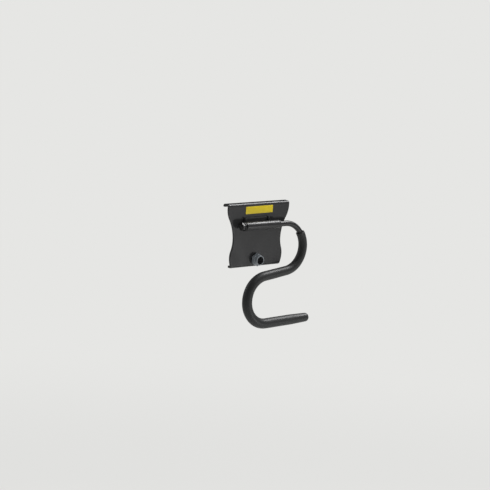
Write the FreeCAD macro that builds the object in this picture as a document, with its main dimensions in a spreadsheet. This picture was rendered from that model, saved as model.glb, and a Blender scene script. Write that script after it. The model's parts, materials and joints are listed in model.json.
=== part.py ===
import FreeCAD, Part
import math
import os
import Sketcher
from FreeCAD import Vector

# A utility hook for a garage wall rail. A bent steel plate clips round a slat of the wall. A tube
# on the plate's front carries an S-shaped rod in a soft sleeve, which swings up out of the way.
# A quarter-turn lock under the tube keeps the plate from being lifted off the slat.
#
# X runs to the right and Y into the wall, so the front faces -Y, and Z is up. The origin is on the
# plate's back face, on its centre line and at half its height. All lengths are in millimetres.

DRIVING_SIZES = [
    ("plate_height", 91.7, "plate, from its bottom edge to the top of the lip"),
    ("sheet_thickness", 3, "steel sheet of the plate"),
    ("fold_radius", 3.5, "outside radius of every fold of the plate"),
    ("top_width", 112.6, "plate's width along its top"),
    ("waist_width", 87.2, "plate's width at its narrowest"),
    ("bulge_swell", 4.4, "how far the plate swells again below the waist, on each side"),
    ("leg_radius", 34, "radius of each side's curve below the bulge"),
    ("foot_corner", 3, "radius of the bottom corners, seen from the front"),
    ("shoulder_drop", 6, "length of the straight upper edge of each side"),
    ("waist_drop", 52.7, "waist below the plate's top"),
    ("bulge_rise", 15.6, "bulge above the plate's bottom edge"),
    ("shoulder_share", 0.35, "shoulder's radius as a share of it and the next one together"),
    ("hollow_share", 0.6, "radius below the waist as a share of it and the bulge's together"),
    ("lip_depth", 12.6, "top lip, from the plate's front to the lip's back"),
    ("lip_drop", 4.6, "turned-down end of the lip, from the lip's top"),
    ("free_corner", 1.5, "corner radius of the lip's and the foot's free ends"),
    ("foot_depth", 8.5, "bottom flange, from the plate's front to its back"),
    ("label_width", 49.8, "bare yellow label"),
    ("label_height", 10.5, "bare yellow label"),
    ("label_thickness", 0.4, "bare yellow label"),
    ("label_corner", 0.8, "corner radius of the label"),
    ("label_drop", 9.8, "label's middle below the plate's top"),
    ("label_shift", 0.1, "label's middle to the right of the plate's centre line"),
    ("label_angle", 0.4, "how askew the label is stuck, in degrees"),
    ("rod_diameter", 8, "round steel rod of the hook"),
    ("pivot_drop", 30.8, "tube's axis below the plate's top"),
    ("pivot_clearance", 0.35, "between the rod and the tube's bore, on the radius"),
    ("tube_diameter", 12, "outside of the pivot tube"),
    ("tube_length", 62.4, "pivot tube"),
    ("tube_shift", 1.6, "tube's middle to the left of the plate's centre line"),
    ("tube_standoff", 2.5, "gap between the plate's front and the tube's back"),
    ("tube_chamfer", 0.5, "bevel at the tube's ends"),
    ("cradle_width", 44.1, "bracket between the tube and the plate"),
    ("cradle_shift", 5.4, "bracket's middle to the left of the plate's centre line"),
    ("cradle_sheet", 1.5, "steel sheet of the bracket"),
    ("cradle_rise", 11, "bracket's top above the tube's axis"),
    ("cradle_fall", 8, "bracket's bottom below the tube's axis"),
    ("cheek_depth", 4, "depth of the bracket's two cheeks, from the plate's front"),
    ("stud_diameter", 6, "turned-down end of the rod"),
    ("stud_tip", 0.6, "end of the stud past its nut"),
    ("end_play", 0.3, "between the tube's end and the washer"),
    ("thread_clearance", 0.05, "between a screw thread and its nut, on the radius"),
    ("washer_diameter", 12.5, "washer between the tube's end and the nut"),
    ("washer_thickness", 1.2, "washer between the tube's end and the nut"),
    ("washer_clearance", 0.2, "between a washer and what passes through it, on the radius"),
    ("nut_flats", 10, "retaining nut across its flats"),
    ("nut_height", 4.5, "retaining nut"),
    ("rod_lead", 14.8, "straight rod between the tube's end and the first bend"),
    ("hook_dip", 7.8428, "upper bend's end below the plate's bottom edge, at the centre line"),
    ("upper_bend_angle", 173, "angle of the upper bend, in degrees"),
    ("middle_run", 40.8, "straight stretch between the two bends"),
    ("lower_bend_angle", 174.3, "angle of the lower bend, in degrees"),
    ("arm_length", 81, "straight lower arm, up to the sleeve's tip"),
    ("sleeve_diameter", 14, "soft sleeve over the hook"),
    ("mouth_angle", 54, "where the sleeve starts along the upper bend, in degrees"),
    ("sleeve_clearance", 0.2, "between the sleeve's bore and the rod, on the radius"),
    ("sleeve_taper", 42, "length over which the sleeve narrows to its tip"),
    ("tip_diameter", 12.2, "sleeve's diameter at its tip"),
    ("tip_round", 5, "rounding of the sleeve's tip"),
    ("tip_cover", 7, "closed end of the sleeve past the rod's end"),
    ("rest_angle", 2.2, "how far the hook hangs out from the plate at rest, in degrees"),
    ("lock_rise", 10.1, "lock's axis above the plate's bottom edge"),
    ("knob_flats", 16.2, "hexagon of the lock knob across its flats"),
    ("knob_height", 4.6, "hexagon of the lock knob"),
    ("knob_round", 0.6, "rounding of the hexagon's edges"),
    ("knob_gap", 0.3, "between the knob and the plate"),
    ("collar_diameter", 14.7, "round collar in front of the hexagon"),
    ("collar_height", 5, "round collar in front of the hexagon"),
    ("collar_round", 1, "rounding of the collar's outer rim"),
    ("recess_diameter", 11, "blind hole in the knob's front"),
    ("recess_depth", 7.4, "blind hole in the knob's front"),
    ("spigot_diameter", 11, "knob's shaft through the plate"),
    ("spigot_clearance", 0.3, "between the knob's shaft and the plate's hole, on the radius"),
    ("drive_flats", 6.5, "square end of the knob's shaft"),
    ("drive_recess", 0.2, "how far the square end stays under the tongue's back"),
    ("drive_clearance", 0.1, "between the square end and the tongue's hole, on each side"),
    ("tongue_gap", 0.3, "between the plate's back and the tongue"),
    ("tongue_width", 11.5, "lock tongue"),
    ("tongue_reach", 12, "lock tongue's end above the lock's axis"),
    ("tongue_thickness", 4.5, "lock tongue"),
    ("tongue_corner", 1.5, "corner radius of the tongue's end"),
    ("lock_screw_diameter", 4, "screw that holds the tongue on the knob"),
    ("screw_length", 9, "screw that holds the tongue on the knob, under its head"),
    ("screw_head_diameter", 7.5, "pan head of that screw"),
    ("screw_head_height", 2.4, "pan head of that screw"),
    ("screw_slot", 1.1, "width of the slot in the screw's head"),
    ("slot_depth", 1.2, "depth of the slot in the screw's head"),
    ("pilot_relief", 0.4, "free hole past the screw's end"),
    ("lock_washer_diameter", 10.5, "washer under the screw's head"),
    ("lock_washer_thickness", 1, "washer under the screw's head"),
]

doc = FreeCAD.newDocument("utility_hook")
sizes = doc.addObject("Spreadsheet::Sheet", "dims")


def fill_sheet():
    """Write one row per driving size: its name, its value under that alias, and what it is."""
    for row, (alias, value, meaning) in enumerate(DRIVING_SIZES, start=1):
        sizes.set(f"A{row}", alias)
        sizes.set(f"B{row}", str(value))
        sizes.setAlias(f"B{row}", alias)
        sizes.set(f"C{row}", meaning)
    doc.recompute()


def size(alias):
    return float(sizes.get(alias))


# Where the main pieces lie, as expressions on the sheet
PLATE_TOP = "(dims.plate_height / 2)"
PIVOT_Y = "(-dims.sheet_thickness - dims.tube_standoff - dims.tube_diameter / 2)"
PIVOT_Z = "(dims.plate_height / 2 - dims.pivot_drop)"
SHOULDER_X = "(-dims.tube_shift - dims.tube_length / 2 - dims.end_play)"
NUT_X = f"({SHOULDER_X} - dims.washer_thickness - dims.nut_height)"
BEND_START = "(dims.tube_length / 2 - dims.tube_shift + dims.rod_lead)"
BEND_RADIUS = (
    "((dims.plate_height - dims.pivot_drop + dims.hook_dip) / (1 - cos(dims.upper_bend_angle)))"
)
ARM_RISE = "(dims.lower_bend_angle - dims.upper_bend_angle)"
PLAIN_ARM = "(dims.arm_length - dims.sleeve_taper)"
TAPER_X = (
    f"({BEND_START} + 2 * {BEND_RADIUS} * sin(dims.upper_bend_angle)"
    f" + dims.middle_run * cos(dims.upper_bend_angle)"
    f" + {BEND_RADIUS} * sin({ARM_RISE}) + {PLAIN_ARM} * cos({ARM_RISE}))"
)
TAPER_Z = (
    f"({PIVOT_Z} - {BEND_RADIUS} + 2 * {BEND_RADIUS} * cos(dims.upper_bend_angle)"
    f" - dims.middle_run * sin(dims.upper_bend_angle)"
    f" - {BEND_RADIUS} * cos({ARM_RISE}) + {PLAIN_ARM} * sin({ARM_RISE}))"
)
SHOULDER_SHIFT = "(dims.top_width / 2 - dims.waist_width / 2)"
SHOULDER_FALL = "(dims.waist_drop - dims.shoulder_drop)"
WAIST_FALL = "(dims.plate_height - dims.waist_drop - dims.bulge_rise)"
LOCK_Z = "(dims.lock_rise - dims.plate_height / 2)"
LOCK_WASHER_Y = "(dims.tongue_gap + dims.tongue_thickness)"
SCREW_SEAT_Y = f"({LOCK_WASHER_Y} + dims.lock_washer_thickness)"
HANGING = ("hook_rod", "grip_sleeve")


def number(expression):
    """The value of an expression on the sheet."""
    return float(sizes.evalExpression(expression))


def new_body(label, x="0", y="0", z="0"):
    """A body whose own frame sits at x, y, z in the hook's frame."""
    body = doc.addObject("PartDesign::Body", label)
    body.Label = label
    place(body, x, y, z)
    return body


def place(piece, x="0", y="0", z="0"):
    piece.setExpression("Placement.Base.x", x)
    piece.setExpression("Placement.Base.y", y)
    piece.setExpression("Placement.Base.z", z)


def origin_plane(body, role):
    return next(feature for feature in body.Origin.OriginFeatures if feature.Role == role)


def new_sketch(body, role, name, offset=None):
    """A sketch on one of the body's origin planes, moved along the plane's normal by offset."""
    sketch = body.newObject("Sketcher::SketchObject", name)
    sketch.AttachmentSupport = (origin_plane(body, role), "")
    sketch.MapMode = "FlatFace"
    if offset:
        sketch.setExpression("AttachmentOffset.Base.z", offset)
    return sketch


def measure(sketch, name, expression, *constraint):
    """A dimension of the sketch, named and bound to the sheet."""
    value = number(expression)
    if constraint[0] == "Angle":
        value = math.radians(value)
    index = sketch.addConstraint(Sketcher.Constraint(*constraint, value))
    sketch.renameConstraint(index, name)
    sketch.setExpression(f"Constraints.{name}", expression)


def add_circle(sketch, name, diameter, x="0", y="0"):
    """A circle bound in diameter and, when it isn't on the sketch's origin, in place."""
    centre = Vector(number(x), number(y), 0)
    circle = sketch.addGeometry(Part.Circle(centre, Vector(0, 0, 1), number(diameter) / 2))
    if x == "0" and y == "0":
        sketch.addConstraint(Sketcher.Constraint("Coincident", circle, 3, -1, 1))
    else:
        measure(sketch, f"{name}_x", x, "DistanceX", -1, 1, circle, 3)
        measure(sketch, f"{name}_y", y, "DistanceY", -1, 1, circle, 3)
    measure(sketch, f"{name}_diameter", diameter, "Diameter", circle)
    return circle


def add_polyline(sketch, corners):
    """A closed chain of lines through the corners, each corner bound by two expressions."""
    points = [Vector(number(x), number(y), 0) for x, y in corners]
    lines = []
    for start, end in zip(points, points[1:] + points[:1]):
        lines.append(sketch.addGeometry(Part.LineSegment(start, end)))
    for line, following in zip(lines, lines[1:] + lines[:1]):
        sketch.addConstraint(Sketcher.Constraint("Coincident", line, 2, following, 1))
    for line, (x, y) in zip(lines, corners):
        measure(sketch, f"x{line}", x, "DistanceX", -1, 1, line, 1)
        measure(sketch, f"y{line}", y, "DistanceY", -1, 1, line, 1)
    return lines


def add_box_outline(sketch, left, right, bottom, top):
    return add_polyline(sketch, [(left, bottom), (right, bottom), (right, top), (left, top)])


def arc_between(centre, radius, start_degrees, end_degrees):
    """An arc drawn counter-clockwise from one direction to another."""
    circle = Part.Circle(centre, Vector(0, 0, 1), radius)
    return Part.ArcOfCircle(circle, math.radians(start_degrees), math.radians(end_degrees))


def pad(body, sketch, name, length, midplane=False, backwards=False):
    feature = body.newObject("PartDesign::Pad", name)
    feature.Profile = sketch
    feature.setExpression("Length", length)
    feature.Midplane = midplane
    feature.Reversed = backwards
    sketch.Visibility = False
    return feature


def pocket(body, sketch, name, length=None, backwards=False):
    """A pocket of the given depth, or one that runs through everything both ways."""
    feature = body.newObject("PartDesign::Pocket", name)
    feature.Profile = sketch
    if length:
        feature.setExpression("Length", length)
        feature.Reversed = backwards
    else:
        feature.Type = "ThroughAll"
        feature.Midplane = True
    sketch.Visibility = False
    return feature


def dress(body, kind, name, base, edges, amount):
    """Round or bevel the listed edges of a feature, by the size that the expression gives."""
    feature = body.newObject(f"PartDesign::{kind}", name)
    feature.Base = (base, edges)
    feature.setExpression("Radius" if kind == "Fillet" else "Size", amount)
    return feature


def edges_where(feature, test):
    """The names of a feature's edges that pass a test."""
    doc.recompute()
    return [f"Edge{i}" for i, edge in enumerate(feature.Shape.Edges, start=1) if test(edge)]


def is_circle(edge, radius):
    curve = edge.Curve
    return hasattr(curve, "Radius") and abs(curve.Radius - radius) < 1e-6


def add_folded_section(sketch):
    """The plate's section: lip, upper fold, face, lower fold and flange, as one closed outline."""
    top = size("plate_height") / 2
    sheet = size("sheet_thickness")
    outer = size("fold_radius")
    inner = outer - sheet
    lip = size("lip_depth") - sheet
    foot = size("foot_depth") - sheet
    drop = size("lip_drop")
    lip_centre = Vector(lip - outer, top - outer, 0)
    upper_centre = Vector(outer - sheet, top - outer, 0)
    lower_centre = Vector(outer - sheet, outer - top, 0)

    def line(x1, y1, x2, y2):
        return sketch.addGeometry(Part.LineSegment(Vector(x1, y1, 0), Vector(x2, y2, 0)))

    def arc(centre, radius, start, end):
        return sketch.addGeometry(arc_between(centre, radius, start, end))

    lip_back = line(lip, top - drop, lip, top - outer)
    lip_fold = arc(lip_centre, outer, 0, 90)
    lip_top = line(lip - outer, top, outer - sheet, top)
    upper_fold = arc(upper_centre, outer, 90, 180)
    face = line(-sheet, top - outer, -sheet, outer - top)
    lower_fold = arc(lower_centre, outer, 180, 270)
    underside = line(outer - sheet, -top, foot, -top)
    foot_end = line(foot, -top, foot, sheet - top)
    foot_inside = line(foot, sheet - top, outer - sheet, sheet - top)
    lower_inside = arc(lower_centre, inner, 180, 270)
    back = line(0, outer - top, 0, top - outer)
    upper_inside = arc(upper_centre, inner, 90, 180)
    lip_underside = line(outer - sheet, top - sheet, lip - outer, top - sheet)
    lip_inside = arc(lip_centre, inner, 0, 90)
    lip_inner = line(lip - sheet, top - outer, lip - sheet, top - drop)
    lip_end = line(lip - sheet, top - drop, lip, top - drop)

    def join(kind, first, first_end, second, second_end):
        sketch.addConstraint(Sketcher.Constraint(kind, first, first_end, second, second_end))

    join("Tangent", lip_back, 2, lip_fold, 1)
    join("Tangent", lip_fold, 2, lip_top, 1)
    join("Tangent", lip_top, 2, upper_fold, 1)
    join("Tangent", upper_fold, 2, face, 1)
    join("Tangent", face, 2, lower_fold, 1)
    join("Tangent", lower_fold, 2, underside, 1)
    join("Coincident", underside, 2, foot_end, 1)
    join("Coincident", foot_end, 2, foot_inside, 1)
    join("Tangent", foot_inside, 2, lower_inside, 2)
    join("Tangent", lower_inside, 1, back, 1)
    join("Tangent", back, 2, upper_inside, 2)
    join("Tangent", upper_inside, 1, lip_underside, 1)
    join("Tangent", lip_underside, 2, lip_inside, 2)
    join("Tangent", lip_inside, 1, lip_inner, 1)
    join("Coincident", lip_inner, 2, lip_end, 1)
    join("Coincident", lip_end, 2, lip_back, 1)
    join("Coincident", lip_inside, 3, lip_fold, 3)
    join("Coincident", upper_inside, 3, upper_fold, 3)
    join("Coincident", lower_inside, 3, lower_fold, 3)
    for upright in (lip_back, face, back, foot_end, lip_inner):
        sketch.addConstraint(Sketcher.Constraint("Vertical", upright))
    for level in (lip_top, underside, lip_end):
        sketch.addConstraint(Sketcher.Constraint("Horizontal", level))
    sketch.addConstraint(Sketcher.Constraint("Equal", lip_fold, upper_fold))
    sketch.addConstraint(Sketcher.Constraint("Equal", upper_fold, lower_fold))
    sketch.addConstraint(Sketcher.Constraint("PointOnObject", back, 1, -2))
    measure(sketch, "fold_radius", "dims.fold_radius", "Radius", upper_fold)
    measure(sketch, "sheet", "dims.sheet_thickness", "DistanceX", face, 1, -1, 1)
    measure(sketch, "top", PLATE_TOP, "DistanceY", -1, 1, lip_top, 1)
    measure(sketch, "bottom", PLATE_TOP, "DistanceY", underside, 1, -1, 1)
    measure(sketch, "lip_depth", "dims.lip_depth", "DistanceX", face, 1, lip_back, 1)
    measure(sketch, "lip_drop", "dims.lip_drop", "DistanceY", lip_back, 1, lip_top, 1)
    measure(sketch, "foot_depth", "dims.foot_depth", "DistanceX", face, 1, foot_end, 1)


def add_side_cut(sketch):
    """What is cut from the plate's right side, seen from the front.

    The edge leaves the straight upper edge along a convex shoulder arc, turns through two concave
    arcs that meet at the waist, swells along a convex arc, draws in along a flatter one and ends
    in a rounded corner.
    """
    top = size("plate_height") / 2
    outside = size("top_width") / 2
    waist = size("waist_width") / 2
    bulge = waist + size("bulge_swell")
    corner = size("foot_corner")
    shoulder_z = top - size("shoulder_drop")
    waist_z = top - size("waist_drop")
    bulge_z = size("bulge_rise") - top
    corner_z = corner - top

    def swing(shift, rise):
        """The angle of two tangent arcs between two upright ends, and the sum of their radii."""
        angle = 2 * math.atan2(shift, rise)
        return angle, rise / math.sin(angle)

    upper_angle, upper_sum = swing(outside - waist, shoulder_z - waist_z)
    lower_angle, lower_sum = swing(bulge - waist, waist_z - bulge_z)
    shoulder_radius = upper_sum * size("shoulder_share")
    flank_radius = upper_sum - shoulder_radius
    waist_radius = lower_sum * size("hollow_share")
    bulge_radius = lower_sum - waist_radius
    leg_radius = size("leg_radius")
    leg_angle = math.asin((bulge_z - corner_z) / (leg_radius - corner))
    corner_x = bulge - leg_radius + (leg_radius - corner) * math.cos(leg_angle)
    foot = Vector(corner_x, -top, 0)
    low_corner = Vector(outside, -top, 0)
    high_corner = Vector(outside, shoulder_z, 0)

    def arc(x, y, radius, start, finish):
        curve = arc_between(Vector(x, y, 0), radius, math.degrees(start), math.degrees(finish))
        return sketch.addGeometry(curve)

    def line(start, finish):
        return sketch.addGeometry(Part.LineSegment(start, finish))

    shoulder = arc(outside - shoulder_radius, shoulder_z, shoulder_radius, -upper_angle, 0)
    flank = arc(waist + flank_radius, waist_z, flank_radius, math.pi - upper_angle, math.pi)
    hollow = arc(waist + waist_radius, waist_z, waist_radius, math.pi, math.pi + lower_angle)
    swell = arc(bulge - bulge_radius, bulge_z, bulge_radius, 0, lower_angle)
    leg = arc(bulge - leg_radius, bulge_z, leg_radius, -leg_angle, 0)
    foot_corner = arc(corner_x, corner_z, corner, -math.pi / 2, -leg_angle)
    base = line(foot, low_corner)
    side = line(low_corner, high_corner)

    def join(kind, first, first_end, second, second_end):
        sketch.addConstraint(Sketcher.Constraint(kind, first, first_end, second, second_end))

    join("Coincident", side, 2, shoulder, 2)
    join("Tangent", shoulder, 1, flank, 1)
    join("Tangent", flank, 2, hollow, 1)
    join("Tangent", hollow, 2, swell, 2)
    join("Tangent", swell, 1, leg, 2)
    join("Tangent", leg, 1, foot_corner, 2)
    join("Tangent", foot_corner, 1, base, 1)
    join("Coincident", base, 2, side, 1)
    join("Horizontal", shoulder, 3, shoulder, 2)
    join("Horizontal", flank, 3, flank, 2)
    join("Horizontal", swell, 3, swell, 1)
    sketch.addConstraint(Sketcher.Constraint("Horizontal", base))
    sketch.addConstraint(Sketcher.Constraint("Vertical", side))
    upper = f"({SHOULDER_SHIFT}^2 + {SHOULDER_FALL}^2) / (2 * {SHOULDER_SHIFT})"
    lower = f"(dims.bulge_swell^2 + {WAIST_FALL}^2) / (2 * dims.bulge_swell)"
    measure(sketch, "shoulder_radius", f"dims.shoulder_share * {upper}", "Radius", shoulder)
    measure(sketch, "hollow_radius", f"dims.hollow_share * {lower}", "Radius", hollow)
    measure(sketch, "leg_radius", "dims.leg_radius", "Radius", leg)
    measure(sketch, "foot_corner", "dims.foot_corner", "Radius", foot_corner)
    measure(sketch, "outside", "dims.top_width / 2", "DistanceX", -1, 1, side, 2)
    measure(sketch, "shoulder_z", f"{PLATE_TOP} - dims.shoulder_drop", "DistanceY", -1, 1, side, 2)
    measure(sketch, "waist", "dims.waist_width / 2", "DistanceX", -1, 1, flank, 2)
    measure(sketch, "waist_z", f"{PLATE_TOP} - dims.waist_drop", "DistanceY", -1, 1, flank, 2)
    bulge_x = "dims.waist_width / 2 + dims.bulge_swell"
    measure(sketch, "bulge", bulge_x, "DistanceX", -1, 1, swell, 1)
    measure(sketch, "bulge_z", f"dims.bulge_rise - {PLATE_TOP}", "DistanceY", -1, 1, swell, 1)
    measure(sketch, "bottom", f"-{PLATE_TOP}", "DistanceY", -1, 1, base, 2)


def make_back_plate():
    """Pressed steel plate: its folded section at full width, then both sides and the lock's hole."""
    body = new_body("back_plate")
    section = new_sketch(body, "YZ_Plane", "folded_section")
    add_folded_section(section)
    blank = pad(body, section, "folded_blank", "dims.top_width", midplane=True)
    doc.recompute()
    blank_volume = blank.Shape.Volume
    side = new_sketch(body, "XZ_Plane", "side_outline")
    add_side_cut(side)
    right_side = pocket(body, side, "right_side")
    doc.recompute()
    if right_side.Shape.Volume >= blank_volume:
        raise RuntimeError("the side cut removed nothing")
    both_sides = body.newObject("PartDesign::Mirrored", "both_sides")
    both_sides.Originals = [right_side]
    both_sides.MirrorPlane = (origin_plane(body, "YZ_Plane"), [""])
    body.Tip = both_sides
    doc.recompute()
    hole_sketch = new_sketch(body, "XZ_Plane", "lock_hole_sketch")
    bore = "dims.spigot_diameter + 2 * dims.spigot_clearance"
    add_circle(hole_sketch, "lock_hole", bore, y=LOCK_Z)
    hole = pocket(body, hole_sketch, "lock_hole")
    doc.recompute()
    if hole.Shape.Volume >= both_sides.Shape.Volume:
        raise RuntimeError("the lock's hole removed nothing")
    lip_end = number(f"{PLATE_TOP} - dims.lip_drop")
    foot_end = number("dims.foot_depth - dims.sheet_thickness")

    def is_free_corner(edge):
        ends = [vertex.Point for vertex in edge.Vertexes]
        if len(ends) != 2:
            return False
        along = ends[1] - ends[0]
        level = edge.CenterOfMass
        at_lip = abs(level.z - lip_end) < 1e-6 and abs(along.x) + abs(along.z) < 1e-6
        at_foot = abs(level.y - foot_end) < 1e-6 and 1e-6 < abs(along.z)
        return at_lip or at_foot

    corners = edges_where(hole, is_free_corner)
    dress(body, "Fillet", "free_corners", hole, corners, "dims.free_corner")
    return body


def make_label():
    """The bare yellow label under the plate's upper fold, stuck slightly askew."""
    middle = f"{PLATE_TOP} - dims.label_drop"
    body = new_body("label_plate", x="dims.label_shift", y="-dims.sheet_thickness", z=middle)
    body.Placement.Rotation = FreeCAD.Rotation(Vector(0, 1, 0), -size("label_angle"))
    body.setExpression("Placement.Rotation.Angle", "-dims.label_angle")
    outline = new_sketch(body, "XZ_Plane", "label_outline")
    across = "dims.label_width / 2"
    up = "dims.label_height / 2"
    add_box_outline(outline, f"-{across}", across, f"-{up}", up)
    sheet = pad(body, outline, "label_sheet", "dims.label_thickness")
    corners = edges_where(sheet, lambda edge: abs(edge.Length - size("label_thickness")) < 1e-6)
    dress(body, "Fillet", "label_corners", sheet, corners, "dims.label_corner")
    return body


def make_tube():
    """Pivot tube, open at both ends, with a small bevel outside."""
    body = new_body("pivot_tube", x="-dims.tube_shift", y=PIVOT_Y, z=PIVOT_Z)
    rings = new_sketch(body, "YZ_Plane", "tube_section")
    add_circle(rings, "outside", "dims.tube_diameter")
    add_circle(rings, "bore", "dims.rod_diameter + 2 * dims.pivot_clearance")
    wall = pad(body, rings, "tube_wall", "dims.tube_length", midplane=True)
    outer = size("tube_diameter") / 2
    rims = edges_where(wall, lambda edge: is_circle(edge, outer))
    dress(body, "Chamfer", "tube_bevel", wall, rims, "dims.tube_chamfer")
    return body


def make_cradle():
    """Bracket between plate and tube: a base on the plate, and a cheek at each end that holds
    the back of the tube in a round seat."""
    body = new_body("tube_cradle", x="-dims.cradle_shift", y=PIVOT_Y, z=PIVOT_Z)
    back = "(dims.tube_standoff + dims.tube_diameter / 2)"
    cheek = new_sketch(body, "YZ_Plane", "cheek_outline")
    front_edge = f"{back} - dims.cheek_depth"
    add_box_outline(cheek, front_edge, back, "-dims.cradle_fall", "dims.cradle_rise")
    block = pad(body, cheek, "cheek_block", "dims.cradle_width", midplane=True)
    between = new_sketch(body, "XY_Plane", "space_between_cheeks")
    inner = "(dims.cradle_width / 2 - dims.cradle_sheet)"
    front = "(-dims.tube_diameter)"
    add_box_outline(between, f"-{inner}", inner, front, f"{back} - dims.cradle_sheet")
    channel = pocket(body, between, "channel")
    seat_sketch = new_sketch(body, "YZ_Plane", "tube_seat_outline")
    add_circle(seat_sketch, "seat", "dims.tube_diameter")
    seat = pocket(body, seat_sketch, "tube_seat")
    doc.recompute()
    if not seat.Shape.Volume < channel.Shape.Volume < block.Shape.Volume:
        raise RuntimeError("a cut in the cradle removed nothing")
    return body


def add_pipe(body, kind, name, section, path):
    """A pipe whose section is carried along a path."""
    feature = body.newObject(f"PartDesign::{kind}Pipe", name)
    feature.Profile = section
    feature.Spine = (path, [])
    section.Visibility = False
    path.Visibility = False
    return feature


def from_angle(degrees, length):
    """The vector of a given length in the direction of an angle."""
    return Vector(math.cos(math.radians(degrees)), math.sin(math.radians(degrees)), 0) * length


def tie_bends(sketch, upper_bend, middle, lower_bend):
    """What both paths share: tangent joints, the bends' radius and angle, and the middle run."""
    sketch.addConstraint(Sketcher.Constraint("Tangent", upper_bend, 1, middle, 1))
    sketch.addConstraint(Sketcher.Constraint("Tangent", middle, 2, lower_bend, 1))
    sketch.addConstraint(Sketcher.Constraint("Equal", upper_bend, lower_bend))
    measure(sketch, "bend_radius", BEND_RADIUS, "Radius", upper_bend)
    measure(sketch, "middle_run", "dims.middle_run", "Distance", middle)
    measure(sketch, "lower_bend_angle", "dims.lower_bend_angle", "Angle", lower_bend)


def add_rod_path(sketch):
    """The rod's centre line, from the washer's seat to its end in the arm.

    It runs along the tube's axis, turns down and back through the upper bend, passes under the
    plate, turns down and forward through the lower bend and runs out along the arm.
    """
    radius = number(BEND_RADIUS)
    upper = size("upper_bend_angle")
    lower = size("lower_bend_angle")
    start = Vector(number(SHOULDER_X), 0, 0)
    bend_start = Vector(number(BEND_START), 0, 0)
    upper_centre = bend_start + Vector(0, -radius, 0)
    leave_angle = 90 - upper
    leave_upper = upper_centre + from_angle(leave_angle, radius)
    enter_lower = leave_upper + from_angle(-upper, size("middle_run"))
    lower_centre = enter_lower + from_angle(leave_angle, radius)
    enter_angle = leave_angle + 180
    leave_lower = lower_centre + from_angle(enter_angle + lower, radius)
    arm = "dims.arm_length - dims.tip_cover"
    arm_end = leave_lower + from_angle(lower - upper, number(arm))
    lead = sketch.addGeometry(Part.LineSegment(start, bend_start))
    upper_bend = sketch.addGeometry(arc_between(upper_centre, radius, leave_angle, 90))
    middle = sketch.addGeometry(Part.LineSegment(leave_upper, enter_lower))
    lower_bend = sketch.addGeometry(
        arc_between(lower_centre, radius, enter_angle, enter_angle + lower)
    )
    last = sketch.addGeometry(Part.LineSegment(leave_lower, arm_end))
    sketch.addConstraint(Sketcher.Constraint("PointOnObject", lead, 1, -1))
    sketch.addConstraint(Sketcher.Constraint("Horizontal", lead))
    sketch.addConstraint(Sketcher.Constraint("Tangent", lead, 2, upper_bend, 2))
    sketch.addConstraint(Sketcher.Constraint("Tangent", lower_bend, 2, last, 1))
    tie_bends(sketch, upper_bend, middle, lower_bend)
    measure(sketch, "start", SHOULDER_X, "DistanceX", -1, 1, lead, 1)
    measure(sketch, "bend_start", BEND_START, "DistanceX", -1, 1, lead, 2)
    measure(sketch, "upper_bend_angle", "dims.upper_bend_angle", "Angle", upper_bend)
    measure(sketch, "arm", arm, "Distance", last)


def add_sleeve_path(sketch):
    """The sleeve's centre line, drawn back from where its tip starts to narrow.

    The sleeve's own X axis is the arm's, so the path goes back along it, up through the lower
    bend, along the middle run and through the upper bend as far as the sleeve's mouth.
    """
    radius = number(BEND_RADIUS)
    lower = size("lower_bend_angle")
    covered = "dims.upper_bend_angle - dims.mouth_angle"
    arm_end = Vector(0, 0, 0)
    leave_lower = Vector(-number(PLAIN_ARM), 0, 0)
    lower_centre = leave_lower + Vector(0, radius, 0)
    enter_lower = lower_centre + from_angle(270 - lower, radius)
    leave_upper = enter_lower - from_angle(-lower, size("middle_run"))
    upper_centre = leave_upper + from_angle(270 - lower, radius)
    leave_angle = 90 - lower
    first_angle = leave_angle + number(covered)
    upper_bend = sketch.addGeometry(arc_between(upper_centre, radius, leave_angle, first_angle))
    middle = sketch.addGeometry(Part.LineSegment(leave_upper, enter_lower))
    lower_bend = sketch.addGeometry(arc_between(lower_centre, radius, 270 - lower, 270))
    last = sketch.addGeometry(Part.LineSegment(leave_lower, arm_end))
    sketch.addConstraint(Sketcher.Constraint("Tangent", lower_bend, 2, last, 1))
    sketch.addConstraint(Sketcher.Constraint("Coincident", last, 2, -1, 1))
    sketch.addConstraint(Sketcher.Constraint("Horizontal", last))
    tie_bends(sketch, upper_bend, middle, lower_bend)
    measure(sketch, "covered", covered, "Angle", upper_bend)
    measure(sketch, "arm", PLAIN_ARM, "Distance", last)


def make_hook_rod():
    """The bent rod: one diameter from the washer's seat to its end, and a thinner stud."""
    body = new_body("hook_rod", y=PIVOT_Y, z=PIVOT_Z)
    path = new_sketch(body, "XZ_Plane", "rod_path")
    add_rod_path(path)
    section = new_sketch(body, "YZ_Plane", "rod_section", offset=SHOULDER_X)
    add_circle(section, "rod", "dims.rod_diameter")
    add_pipe(body, "Additive", "bent_rod", section, path)
    stud_section = new_sketch(body, "YZ_Plane", "stud_section", offset=SHOULDER_X)
    add_circle(stud_section, "stud", "dims.stud_diameter")
    stud_length = "dims.washer_thickness + dims.nut_height + dims.stud_tip"
    pad(body, stud_section, "stud", stud_length, backwards=True)
    return body


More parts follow.
